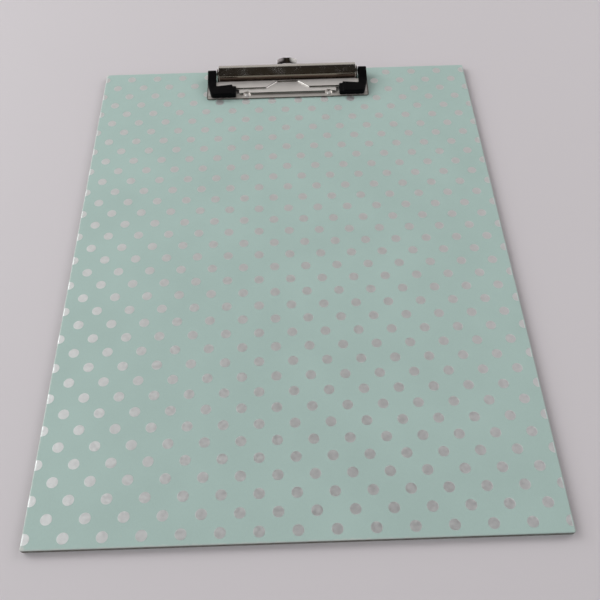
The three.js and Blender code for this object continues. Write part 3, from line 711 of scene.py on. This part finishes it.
class BuildStage(bpy.types.Operator):
    """Sets up the table, the soft lights and the camera"""

    bl_idname = "clipboard.build_stage"
    bl_label = "Stage"

    def execute(self, context):
        settings = context.scene.clipboard_stage
        # The table is a level square, a hair under the board, so that no two faces share a plane.
        half_table, shift_back, just_under = 2.5, 0.3, -0.02 * MM
        reach = np.linspace(-half_table, half_table, 21)
        x, y = np.meshgrid(reach, reach + shift_back)
        floor = Shell().grid(points(x, y, just_under)).build("table_top", upward=1)
        floor.data.materials.append(table_top(settings.floor_colour))

        self.softbox("window_light", (-1.05, 0.52, 0.66), (0.9, 0.7), settings.window_power, (1.0, 1.0, 1.0))
        self.softbox("fill_light", (1.05, 0.58, 0.80), (0.7, 0.6), settings.fill_power, (1.0, 0.95, 0.97))
        context.scene.world = bpy.data.worlds.new("room")
        room_light(context.scene.world)

        lens = bpy.data.cameras.new("camera")
        lens.lens = settings.lens
        lens.sensor_width = 36
        lens.clip_start = 0.01
        camera = bpy.data.objects.new("camera", lens)
        camera.location = settings.camera_place
        camera.rotation_euler = Euler(settings.camera_turn, "XYZ")
        context.collection.objects.link(camera)
        context.scene.camera = camera
        context.scene.view_settings.view_transform = "Standard"
        context.scene.view_settings.look = "None"
        return {"FINISHED"}

    def softbox(self, name, place, size, power, colour):
        """A soft light that faces the board's rear edge."""
        light = bpy.data.lights.new(name, "AREA")
        light.shape = "RECTANGLE"
        light.size, light.size_y = size
        light.energy = power
        light.color = colour
        lamp = bpy.data.objects.new(name, light)
        lamp.location = place
        rear_edge = Vector((0, 0.15, 0))
        lamp.rotation_euler = (rear_edge - Vector(place)).to_track_quat("-Z", "Y").to_euler()
        bpy.context.collection.objects.link(lamp)


class BuildCover(bpy.types.Operator):
    """Wraps the paper over the board's face and edges and turns its hems in on the back"""

    bl_idname = "clipboard.build_cover"
    bl_label = "Cover paper"

    def execute(self, context):
        board = context.scene.clipboard_board
        half_x, half_y = BOARD_HIGH.x, BOARD_HIGH.y
        bottom, top = BOARD_LOW.z, BOARD_HIGH.z
        round_over = arc(0, 90, 6)
        fold = board.edge_radius * (1 - np.cos(round_over))
        rise = board.edge_radius * (1 - np.sin(round_over))
        face = np.array([1.0, 2, 4, 7, 11, 16, 23, 32, 42, 52, 62, 72, 82, 92, 101, 108, 112, 115]) * MM
        face[-1] = half_x
        hem = np.array([board.hem_width, 12 * MM, 8 * MM, 5 * MM, 3.6 * MM, 2.4 * MM, 1.5 * MM, 0.9 * MM])
        inset = np.concatenate([hem, fold[::-1], fold, face])[:, None]
        height = np.concatenate([
            np.full(len(hem), bottom), bottom + rise[::-1], top - rise, np.full(len(face), top)])
        radius = np.maximum(board.corner_radius - inset, 0.0)
        outline = rounded_rectangle(half_x - inset, half_y - inset, radius, 10, 30, 40)
        x, y = outline[..., 0], outline[..., 1]
        z = np.broadcast_to(height[:, None], x.shape).copy()

        # Shallow waves on the face: a sum of a few long sines, which never comes over the flat face.
        waves = (np.sin(x / 0.031 + 1.3) * np.sin(y / 0.043 + 0.4) + 0.6 * np.sin(x / 0.017 - y / 0.026)
                 + 0.5 * np.sin(y / 0.015 + x / 0.060 + 2.0))
        most = 2.1
        on_face = z > top - 0.1 * MM
        z -= board.wave_height * smooth(inset, 1 * MM, 14 * MM) * on_face * (most + waves) / (2 * most)

        # A shallow groove along each corner's diagonal on the back, where the turned-in hems meet.
        from_mitre = np.abs((half_x - np.abs(x)) - (half_y - np.abs(y))) / math.sqrt(2)
        on_back = (z < bottom + 0.01 * MM) & (inset < board.hem_width)
        groove_depth, groove_width = 0.12 * MM, 0.3 * MM
        z += on_back * groove_depth * np.exp(-(from_mitre / groove_width) ** 2)

        cover = Shell().grid(points(x, y, z), around=True).build("cover", upward=1)
        thicken(cover, board.paper_thickness, -1)
        settle(cover, "board", mint_paper(board), "cover_paper")
        return {"FINISHED"}


class BuildBack(bpy.types.Operator):
    """Pastes the liner over the hems on the back, and finishes the greyboard core"""

    bl_idname = "clipboard.build_back"
    bl_label = "Back liner and core"

    def execute(self, context):
        board = context.scene.clipboard_board
        washers = [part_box(f"rivet_washer_{side}") for side, _ in SIDES]
        middles = [((low.x + high.x) / 2, (low.y + high.y) / 2) for low, high in washers]
        hole_radius = (washers[0][1].x - washers[0][0].x) / 2 + 0.1 * MM

        # The grid's lines are close together over the hems' edges and in the block round each washer's
        # hole, and spread evenly elsewhere.
        cells, reach = 10, 6.5 * MM
        fall = np.linspace(-0.8, 2.2, 7) * MM
        hem_x = BOARD_HIGH.x - board.hem_width
        hem_y = BOARD_HIGH.y - board.hem_width
        blocks_x = [np.linspace(x - reach, x + reach, cells + 1) for x, _ in middles]
        block_y = np.linspace(middles[0][1] - reach, middles[0][1] + reach, cells + 1)
        across = [LINER_LOW.x, -hem_x - fall, hem_x + fall, LINER_HIGH.x, *blocks_x,
                  np.linspace(-90 * MM, -36 * MM, 10), np.linspace(-13 * MM, 15 * MM, 5),
                  np.linspace(40 * MM, 90 * MM, 9), [-107 * MM, 107 * MM]]
        along = [LINER_LOW.y, -hem_y - fall, hem_y + fall, LINER_HIGH.y, block_y,
                 np.linspace(-125 * MM, 112 * MM, 36), [-144 * MM, 144 * MM]]
        lines_x, lines_y = [
            np.unique(np.round(np.concatenate([np.atleast_1d(part) for part in parts]), 7))
            for parts in (across, along)]
        plan = np.stack(np.meshgrid(lines_x, lines_y), -1)

        def laid(spots):
            """The liner's outer face: level over the hems, and inside them sunk by their thickness, with a
            ripple of two crossed sines."""
            x, y = spots[..., 0], spots[..., 1]
            sink, swell = 0.17 * MM, 0.02 * MM
            inside = np.minimum(hem_x - np.abs(x), hem_y - np.abs(y))
            sunk = sink * smooth(inside, -0.3 * MM, 1.6 * MM)
            ripple = swell * (1 + np.sin(x / 0.021) * np.sin(y / 0.034 + 1)) * smooth(inside, 0, 12 * MM)
            return points(x, y, LINER_LOW.z + sunk + ripple)

        shell = Shell()
        blocks = []
        for (x, y), block_x in zip(middles, blocks_x):
            left = int(np.argmin(np.abs(lines_x - block_x[0])))
            near = int(np.argmin(np.abs(lines_y - block_y[0])))
            blocks.append((near, near + cells, left, left + cells))
            hole = circle(x, y, hole_radius, full_turn(72))
            shell.grid(laid(hole_ring(plan, blocks[-1], hole, 5)), around=True)
        # The grid is laid in two runs of columns, so that each run leaves out one block.
        split = int(np.argmin(np.abs(lines_x)))
        left_block, right_block = blocks
        grid = laid(plan)
        shell.grid(grid[:, :split + 1], skip=left_block)
        shell.grid(grid[:, split:], skip=(*right_block[:2], right_block[2] - split, right_block[3] - split))
        liner = shell.build("liner", upward=-1)
        thicken(liner, LINER_HIGH.z - LINER_LOW.z, -1)
        paper = matt_paper("pasted_liner", board.liner_colour, 0.5 * MM, 0.02 * MM)
        settle(liner, "board", paper, "back_liner")
        dress_node("board_core", matt_paper("grey_core", board.greyboard_colour, 0.9 * MM, 0.06 * MM))
        return {"FINISHED"}


class BuildBasePlate(bpy.types.Operator):
    """Plates the base plate"""

    bl_idname = "clipboard.build_base_plate"
    bl_label = "Base plate"

    def execute(self, context):
        dress_node("base_plate", clip_metal("bright_nickel", context.scene.clipboard_clip))
        return {"FINISHED"}


class BuildClampPlate(bpy.types.Operator):
    """Bends the clamp plate: folded lip, jaw with its finger notch, and rolled barrel with two cheeks"""

    bl_idname = "clipboard.build_clamp_plate"
    bl_label = "Clamp plate"

    def execute(self, context):
        clip = context.scene.clipboard_clip
        half_barrel = clip.barrel_length / 2
        bend = clip.front_bend
        notch_back = JAW_FRONT - clip.notch_depth
        mouth_bend, root_bend, corner_bend = 1.5 * MM, 1.3 * MM, 1.2 * MM
        corner_across, corner_back = 3.2 * MM, 4.8 * MM

        # Section of the front: up the lip and over the bend, as an inset from the outline and a height. The
        # sheet's inner face follows at its thickness.
        over = arc(0, 90, 7)
        sheet = clip.sheet_thickness
        outer_inset = np.concatenate([[0.0], bend * (1 - np.cos(over))])
        outer_rise = np.concatenate([[clip.lip_foot], clip.jaw_top - bend + bend * np.sin(over)])
        inner_inset = np.full(2, sheet)
        inner_rise = np.array([clip.lip_foot, clip.jaw_top - sheet])

        # Section behind it: along the level jaw, round the fillet, and over the barrel about the hinge.
        fillet_height = clip.jaw_top + clip.fillet_radius
        reach = math.sqrt((BARREL_RADIUS + clip.fillet_radius) ** 2 - (fillet_height - HINGE_HEIGHT) ** 2)
        touch = math.atan2(fillet_height - HINGE_HEIGHT, reach)
        dip = np.linspace(0, np.pi / 2 - touch, 9)
        roll = np.linspace(touch, clip.rear_angle, 49)[1:]

        def back_of(depth):
            """Fillet and barrel, as setbacks and heights, at a depth under the sheet's outer face."""
            hollow, drum = clip.fillet_radius + depth, BARREL_RADIUS - depth
            setback = np.concatenate([
                HINGE_SETBACK + reach - hollow * np.sin(dip), HINGE_SETBACK + drum * np.cos(roll)])
            height = np.concatenate([
                fillet_height - hollow * np.cos(dip), HINGE_HEIGHT + drum * np.sin(roll)])
            return setback, height

        wing_rear = HINGE_SETBACK + 6.3 * MM
        level = np.array([0.25, 0.5, 0.75, 1.0])

        def jaw(path, normals, inset, rise):
            """Rows from the lip's foot to the wings' rear edge. Each column keeps its place across."""
            front = path[None] - inset[:, None, None] * normals[None]
            flat = front[-1:] * np.array([1, 0]) + np.array([0, 1]) * (
                front[-1:, :, 1:] + level[:, None, None] * (wing_rear - front[-1:, :, 1:]))
            plan = np.concatenate([front, flat])
            height = np.concatenate([rise, np.full(len(level), rise[-1])])[:, None]
            return in_clip(plan[..., 0], plan[..., 1], height)

        def both_faces(path, normals):
            """The sheet's outer face and its inner one."""
            return jaw(path, normals, outer_inset, outer_rise), jaw(path, normals, inner_inset, inner_rise)

        shell = Shell()
        path, normals = rounded_path(
            [(-half_barrel, JAW_FRONT), (-clip.notch_mouth, JAW_FRONT), (-clip.notch_root, notch_back),
             (clip.notch_root, notch_back), (clip.notch_mouth, JAW_FRONT), (half_barrel, JAW_FRONT)],
            [mouth_bend, root_bend, root_bend, mouth_bend], 8, 1.5 * MM)
        faces = []
        for rows, depth in zip(both_faces(path, normals), (0, sheet)):
            setback, height = back_of(depth)
            across = rows[-1, :, 0] - CLIP_MIDDLE
            faces.append(np.concatenate([rows, in_clip(across[None], setback[:, None], height[:, None])]))
        outer, inner = faces
        shell.grid(np.concatenate([outer, inner[::-1]]).transpose(1, 0, 2), around=True)
        barrel_rows = len(dip) + len(roll) + 1
        for end in (0, -1):
            shell.grid(np.stack([outer[-barrel_rows:, end], inner[-barrel_rows:, end]]))
        for _, side in SIDES:
            wing = [(half_barrel, JAW_FRONT), (JAW_HALF_WIDTH - corner_across, JAW_FRONT),
                    (JAW_HALF_WIDTH, JAW_FRONT - corner_back)]
            wing = [(side * x, setback) for x, setback in wing][::side]
            outer, inner = both_faces(*rounded_path(wing, [corner_bend], 4, 1 * MM))
            shell.grid(np.concatenate([outer, inner[::-1]]).transpose(1, 0, 2), around=True)
            # The wing's end is closed in two parts: the lip, then the level stretch behind it.
            tip = -1 if side > 0 else 0
            lip = len(outer) - len(level)
            shell.cap(np.concatenate([outer[:lip, tip], inner[1:2, tip], inner[:1, tip]]))
            shell.grid(np.stack([outer[lip - 1:, tip], inner[1:, tip]]))

        # Cheeks: a closed ring about the pin, a hair inside the barrel's end. Its outer edge is as far out
        # as the roof above the jaw, and as the pivot below it.
        around = full_turn(96)
        under_roof = smooth(np.degrees(around), -24, -14) * smooth(np.degrees(around), 147, 140)
        pivot, bore_radius, bite, recess = 3.2 * MM, 1.3 * MM, 0.02 * MM, 0.1 * MM
        edge = pivot + (BARREL_RADIUS - sheet + bite - pivot) * under_roof
        bore = np.full_like(edge, bore_radius)
        face_across = half_barrel - recess
        radius = np.stack([bore, edge, edge, bore, bore])
        depth = np.array([0, 0, sheet, sheet, 0])[:, None]
        for _, side in SIDES:
            shell.grid(in_clip(side * (face_across - depth), HINGE_SETBACK + radius * np.cos(around),
                               HINGE_HEIGHT + radius * np.sin(around)), around=True)
        plate = shell.build("clamp")
        soften(plate, 0.14 * MM, 2)
        settle(plate, "clamp", clip_metal("bright_nickel", clip), "clamp_plate")
        return {"FINISHED"}


class BuildHangingTab(bpy.types.Operator):
    """Shapes the hanging tab: a dished strip that curves up to a blunt tip, with a hole and a stop"""

    bl_idname = "clipboard.build_hanging_tab"
    bl_label = "Hanging tab"

    def execute(self, context):
        tab = context.scene.clipboard_tab
        low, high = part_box("hanging_tab")
        tip = BOARD_HIGH.y - high.y + 0.2 * MM
        tail = BOARD_HIGH.y - low.y
        taper, bend_start = -6.0 * MM, -1.5 * MM
        stop_rear, stop_front = 13.7 * MM, 14.3 * MM
        stop_half = (high.x - low.x) / 2
        hole_rear, hole_front, hole_half = -4.8 * MM, 2.2 * MM, 3.9 * MM

        # The grid's lines run from the tip to the tail. These rows and columns of it lie round the hole.
        rows, columns, first_row, first_column = 9, 8, 8, 3
        block_front = 3.3 * MM
        lines = np.concatenate([
            np.linspace(tip, taper, first_row + 1)[:-1], np.linspace(taper, block_front, rows + 1),
            np.linspace(block_front, 13.4 * MM, 6)[1:], np.linspace(stop_rear, stop_front, 5),
            [15 * MM, tail]])
        rim = np.array([0.86, 0.93, 1.0])
        shares = np.concatenate([-rim[::-1], np.linspace(-0.8, 0.8, columns + 1), rim])
        narrowing = np.clip((taper - lines) / (taper - tip), 0, 1) ** 1.6
        half = tab.half_width - (tab.half_width - tab.tip_half_width) * narrowing
        half = half + (stop_half - tab.half_width) * smooth(lines, stop_rear, stop_front)
        plan = points(half[:, None] * shares, lines[:, None])

        def curved(spots):
            """Level in its slide. Towards the tip it rises with the square of the way, its sides more."""
            x, setback = spots[..., 0], spots[..., 1]
            share = np.clip((bend_start - setback) / (bend_start - tip), 0, 1)
            level = low.z - BOARD_HIGH.z + tab.thickness / 2
            height = level + tab.rise * share ** 2 + tab.dish * share * (x / tab.half_width) ** 2
            return in_clip(x, setback, height)

        block = (first_row, first_row + rows, first_column, first_column + columns)
        hole = rounded_rectangle(hole_half, (hole_front - hole_rear) / 2, 2.4 * MM, 8, 4, 4)
        hole = hole + np.array([0, (hole_rear + hole_front) / 2])
        shell = Shell().grid(curved(plan), skip=block)
        shell.grid(curved(hole_ring(plan, block, hole, 3)), around=True)
        piece = shell.build("hanger", upward=1)
        thicken(piece, tab.thickness, 0)
        soften(piece, 0.2 * MM, 3)
        metal = clip_metal("polished_nickel", context.scene.clipboard_clip)
        settle(piece, "hanger", metal, "hanging_tab")
        return {"FINISHED"}


class BuildRivets(bpy.types.Operator):
    """Turns the two semi-tubular rivets and their washers"""

    bl_idname = "clipboard.build_rivets"
    bl_label = "Rivets and washers"

    def execute(self, context):
        metal = clip_metal("tumbled_nickel", context.scene.clipboard_clip)
        bore, hole_depth, hole_wall, hole_floor = 0.6 * MM, 1.6 * MM, 1.5 * MM, 0.52 * MM
        shank, press = 1.1 * MM, 0.02 * MM
        head_radius, head_height, head_rise, skirt = 1.45 * MM, 0.85 * MM, 0.66 * MM, 0.12 * MM
        washer_bore, bevel, ease = 1.16 * MM, 1.22 * MM, 0.12 * MM
        for side, _ in SIDES:
            low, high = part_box(f"rivet_{side}")
            washer_low, washer_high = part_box(f"rivet_washer_{side}")
            middle = np.array([(low.x + high.x) / 2, (low.y + high.y) / 2, 0])

            # Half section of the rivet: up its hollow tail, round the curl over the washer, up the shank,
            # and from the head's small rounded skirt over its dome.
            clinch_top = washer_low.z - press
            clinch_radius = (high.x - low.x) / 2
            roll = (clinch_top - low.z) / 2
            head_foot = high.z - head_height
            inward = arc(10, 90, 5)
            profile = np.concatenate([
                [[0, low.z + hole_depth], [hole_floor, low.z + hole_depth], [bore, low.z + hole_wall],
                 [bore, low.z + roll]],
                points(bore + roll - roll * np.cos(inward), low.z + roll - roll * np.sin(inward)),
                circle(clinch_radius - roll, low.z + roll, roll, arc(-90, 90, 10)),
                [[shank, clinch_top], [shank, head_foot]],
                circle(head_radius - skirt, head_foot + skirt, skirt, arc(-60, 0, 4)),
                dome(head_radius, head_rise, high.z, 12),
            ])
            rivet = Shell().grid(middle + turned(profile, 48), around=True).build(f"rivet_pair_{side}")
            settle(rivet, "board", metal, f"rivet_{side}")

            # Half section of the washer: a flat ring with a bevelled bore and rounded outer edges.
            radius = (washer_high.x - washer_low.x) / 2 - ease
            mid_height = washer_low.z + (washer_high.z - washer_low.z) / 2
            profile = np.concatenate([
                [[washer_bore, mid_height], [washer_bore, washer_low.z + ease], [bevel, washer_low.z]],
                circle(radius, washer_low.z + ease, ease, arc(-90, 0, 3)),
                circle(radius, washer_high.z - ease, ease, arc(0, 90, 3)),
                [[bevel, washer_high.z], [washer_bore, washer_high.z - ease], [washer_bore, mid_height]],
            ])
            washer = Shell().grid(middle + turned(profile, 48), around=True).build(f"washer_{side}")
            settle(washer, "board", metal, f"rivet_washer_{side}")
        return {"FINISHED"}


class BuildHinge(bpy.types.Operator):
    """Turns the hinge pin and winds the two torsion springs round it"""

    bl_idname = "clipboard.build_hinge"
    bl_label = "Hinge pin and springs"

    def execute(self, context):
        clip = context.scene.clipboard_clip
        spring = context.scene.clipboard_springs
        steel = clip_metal("drawn_wire", clip)

        # The pin is turned upright, as (radius, height), then laid along X through the hinge.
        pin_radius, bevel = 1.25 * MM, 0.06 * MM
        head_radius, head_height, head_rise = 1.8 * MM, 0.46 * MM, 0.3 * MM
        head = dome(head_radius, head_rise, PIN_HALF_LENGTH, 10)
        rim = PIN_HALF_LENGTH - head_height
        right = np.concatenate([
            head[::-1], [[head_radius, rim + bevel], [head_radius - bevel, rim], [pin_radius, rim]]])
        left = right[::-1] * np.array([1, -1])
        bar = turned(np.concatenate([right, left]), 40)
        laid = points(HINGE.x + bar[..., 2], HINGE.y + bar[..., 0], HINGE.z + bar[..., 1])
        settle(Shell().grid(laid, around=True).build("pin"), "board", steel, "hinge_pin")

        # Each spring winds up between its two legs, and starts and ends a little inside them.
        for side_name, side in SIDES:
            path = self.wire_path(spring, clip)
            wire = self.tube(path, spring.wire_radius, 12) * np.array([side, 1, 1])
            piece = Shell().grid(wire + np.array(HINGE), around=True).build(f"spring_{side_name}")
            settle(piece, None, steel, f"torsion_spring_{side_name}")
            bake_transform(piece)
        return {"FINISHED"}

    def wire_path(self, spring, clip):
        """Middle of the wire about the hinge, for the right-hand spring: a straight leg down to the base
        plate, then a helix round X, then a straight leg under the barrel's roof. The legs leave the coil
        along its tangent."""
        barrel_inner = BARREL_RADIUS - clip.sheet_thickness
        leg_gap, leg_excess = 0.3 * MM, 1.8 * MM
        leg_steps, steps_per_turn = 12, 28
        drop = HINGE_HEIGHT - spring.coil_radius - spring.wire_radius - FLANGE_TOP - leg_gap
        lift = math.acos((spring.coil_radius + spring.wire_radius + leg_gap) / barrel_inner)
        start = -math.pi / 2 + math.asin(drop / spring.seated_leg)
        sweep = 2 * math.pi * spring.whole_turns + clip.rear_angle - lift - start
        pressing_leg = barrel_inner * math.sin(lift) + leg_excess
        turns = sweep / (2 * math.pi)
        seated = np.linspace(spring.seated_leg, 0, leg_steps)[:-1]
        coiled = np.linspace(0, sweep, int(turns * steps_per_turn))
        pressing = np.linspace(0, pressing_leg, leg_steps)[1:]
        drift = np.concatenate([seated, np.zeros_like(coiled), -pressing])
        angle = start + np.concatenate([np.zeros_like(seated), coiled, np.full_like(pressing, sweep)])
        share = (angle - start) / sweep
        return points(
            SPRING_END - spring.wire_radius - share * turns * spring.coil_pitch,
            -spring.coil_radius * np.cos(angle) - drift * np.sin(angle),
            spring.coil_radius * np.sin(angle) - drift * np.cos(angle))

    def tube(self, path, radius, sides):
        """A round wire along a path that never runs along X: rings square to the path, closed by round ends
        that stay inside the wire's length."""
        way = np.gradient(path, axis=0)
        way /= np.linalg.norm(way, axis=1, keepdims=True)
        across = np.array([1.0, 0, 0]) - way * way[:, :1]
        across /= np.linalg.norm(across, axis=1, keepdims=True)
        over = np.cross(way, across)
        angles = np.linspace(0, 2 * np.pi, sides, endpoint=False)[:, None]
        quarter = arc(0, 90, 3)[1:]
        between = len(path) - 2
        rows = np.concatenate([np.zeros(3, int), 1 + np.arange(between), np.full(3, len(path) - 1)])
        size = radius * np.concatenate([np.cos(quarter)[::-1], np.ones(between), np.cos(quarter)])
        slide = radius * np.concatenate([1 - np.sin(quarter)[::-1], np.zeros(between), np.sin(quarter) - 1])
        middle = path[rows] + slide[:, None] * way[rows]
        ring = np.cos(angles) * across[rows][:, None] + np.sin(angles) * over[rows][:, None]
        return middle[:, None] + size[:, None, None] * ring


class BuildCornerGrips(bpy.types.Operator):
    """Moulds the two corner grips: a pad over each corner of the jaw and an arm back to the hinge"""

    bl_idname = "clipboard.build_corner_grips"
    bl_label = "Corner grips"

    def execute(self, context):
        arm_inner = GRIP_OUTER - 5.1 * MM
        outer_side, nose = GRIP_OUTER + 0.2 * MM, GRIP_FRONT + 0.55 * MM
        arm_radius = 2.2 * MM
        arm_front, outer_bend, corner_setback, pad_rear = 15.6 * MM, 16.5 * MM, 19.2 * MM, 17.9 * MM
        pad_top = 4.25 * MM
        pad_end = GRIP_INNER + 2.4 * MM
        slant, outer_radii, inner_radius = 2.4 * MM, [6 * MM, 1.8 * MM], 0.9 * MM
        edge, spacing, crown_drop = 0.55 * MM, 0.7 * MM, 0.10 * MM
        sleeve_drop, sleeve_narrowing, half_step = 0.5 * MM, 1.0 * MM, 0.2 * MM
        rear_steps, end_steps = 8, 5

        # Stations along the grip: round the arm's rear end, along the arm, round the corner, along the pad,
        # and over the sleeve to its end. Each has a point on the outer side and one on the inner side.
        arm_setback = np.concatenate([
            HINGE_SETBACK - arm_radius * np.cos(arc(0, 80, rear_steps)),
            np.linspace(HINGE_SETBACK, 15.5 * MM, 14)])
        pad_start = arm_inner - 1.2 * MM
        outline, _ = rounded_path(
            [(outer_side, arm_front), (outer_side, outer_bend), (outer_side - slant, nose),
             (pad_start, nose)], outer_radii, 8, spacing)
        fillet, _ = rounded_path(
            [(arm_inner, arm_front), (arm_inner, corner_setback), (pad_start, corner_setback - 0.15 * MM)],
            [inner_radius], 8, spacing)
        along = np.linspace(0, 1, len(outline))
        inner_along = np.linspace(0, 1, len(fillet))
        inner_corner = points(*(np.interp(along, inner_along, fillet[:, axis]) for axis in (0, 1)))
        sleeve = np.array([0.9, 0.45, 0.3, 0.15, 0, -0.15, -0.3, -0.45, -0.9]) * MM + pad_end
        shrink = arc(0, 90, end_steps)
        pad_across = np.concatenate([
            np.linspace(arm_inner - 1.9 * MM, pad_end + 1.5 * MM, 10), sleeve,
            GRIP_INNER + edge * (1 - np.sin(shrink))])
        slope = (corner_setback - pad_rear) / (arm_inner - pad_end)
        step = smooth(pad_across, pad_end + half_step, pad_end - half_step)
        pad_inner = pad_rear + slope * np.maximum(pad_across - pad_end, 0) + sleeve_narrowing * step
        outer = np.concatenate([points(outer_side, arm_setback), outline, points(pad_across, nose)])
        inner = np.concatenate([points(arm_inner, arm_setback), inner_corner, points(pad_across, pad_inner)])

        # Heights: the arm's upper and lower faces are tangent to its round end and run down to the pad's.
        arm_count, pad_count = len(arm_setback), len(pad_across)
        mean_setback = np.concatenate([
            arm_setback, np.linspace(arm_front, 20 * MM, len(outline)), np.full(pad_count, GRIP_FRONT)])
        top = self.arm_face(mean_setback, arm_radius, pad_rear, pad_top, 1)
        bottom = self.arm_face(mean_setback, arm_radius, pad_rear, GRIP_BOTTOM, -1)
        top[-pad_count:] -= sleeve_drop * step
        half_height = (top - bottom) / 2
        inset = np.zeros(len(outer))
        rear, end = rear_steps + 1, -end_steps - 1
        inset[:rear] = edge * (1 - np.sqrt(np.maximum(0, 1 - np.linspace(1, 0, rear) ** 2)))
        inset[end:] = edge * (1 - np.cos(shrink))
        half_height[end:] -= inset[end:]

        way = outer - inner
        width = np.linalg.norm(way, axis=1)
        way /= width[:, None]
        half_width = width / 2 - inset
        radius = np.minimum(edge, np.minimum(half_height, half_width) * 0.98)
        section = rounded_rectangle(half_width[:, None], half_height[:, None], radius[:, None], 5, 8, 3)
        middle = (outer + inner) / 2
        across = middle[:, None, 0] + way[:, None, 0] * section[..., 0]
        setback = middle[:, None, 1] + way[:, None, 1] * section[..., 0]
        # The pad's upper face is a little crowned: it falls towards its outer and inner sides with the
        # square of the way from its middle.
        reach = section[..., 0] / half_width[:, None]
        pad_share = smooth(np.arange(len(outer)), arm_count, arm_count + len(outline))[:, None]
        crown = -crown_drop * reach ** 2 * (section[..., 1] > 0) * pad_share
        height = ((top + bottom) / 2)[:, None] + section[..., 1] + crown

        rubber = black_moulding(context.scene.clipboard_clip.rubber_colour)
        for side_name, side in SIDES:
            placed = in_clip(side * across, setback, height)
            shell = Shell().grid(placed, around=True)
            shell.cap(placed[-1])
            grip = shell.build(f"grip_{side_name}")
            settle(grip, "clamp", rubber, f"corner_grip_{side_name}")
        return {"FINISHED"}

    def arm_face(self, setback, radius, pad_rear, pad_height, side):
        """Height of the arm's upper (side 1) or lower (side -1) face: a circle about the hinge, then the
        straight line tangent to it that meets the pad's rear edge, then the pad's level face."""
        run = pad_rear - HINGE_SETBACK
        rise = HINGE_HEIGHT - pad_height
        bearing = math.atan2(rise, run)
        slope = bearing + side * math.asin(radius / math.hypot(run, rise))
        touch = HINGE_SETBACK + side * radius * math.sin(slope)
        rounded = HINGE_HEIGHT + side * np.sqrt(np.maximum(radius ** 2 - (setback - HINGE_SETBACK) ** 2, 0))
        sloped = pad_height + (pad_rear - setback) * math.tan(slope)
        return np.where(setback < touch, rounded, np.where(setback < pad_rear, sloped, pad_height))


# ---------- panel and registration ----------

BUILDERS = (
    BuildStage, BuildCover, BuildBack, BuildBasePlate, BuildClampPlate, BuildHangingTab, BuildRivets,
    BuildHinge, BuildCornerGrips,
)
SETTINGS = {
    "clipboard_board": BoardSettings,
    "clipboard_clip": ClipSettings,
    "clipboard_tab": TabSettings,
    "clipboard_springs": SpringSettings,
    "clipboard_stage": StageSettings,
}


class ClipboardPanel(bpy.types.Panel):
    """Lists the clipboard's pieces in the sidebar"""

    bl_idname = "VIEW3D_PT_clipboard"
    bl_label = "Clipboard"
    bl_space_type = "VIEW_3D"
    bl_region_type = "UI"
    bl_category = "Clipboard"

    def draw(self, context):
        column = self.layout.column(align=True)
        for builder in BUILDERS:
            column.operator(builder.bl_idname)


def register():
    for name, group in SETTINGS.items():
        bpy.utils.register_class(group)
        setattr(bpy.types.Scene, name, PointerProperty(type=group))
    for kind in (*BUILDERS, ClipboardPanel):
        bpy.utils.register_class(kind)


def unregister():
    for kind in (ClipboardPanel, *reversed(BUILDERS)):
        bpy.utils.unregister_class(kind)
    for name, group in SETTINGS.items():
        delattr(bpy.types.Scene, name)
        bpy.utils.unregister_class(group)


def main():
    register()
    for builder in BUILDERS:
        getattr(bpy.ops.clipboard, builder.bl_idname.split(".")[1])()


if __name__ == "__main__":
    main()
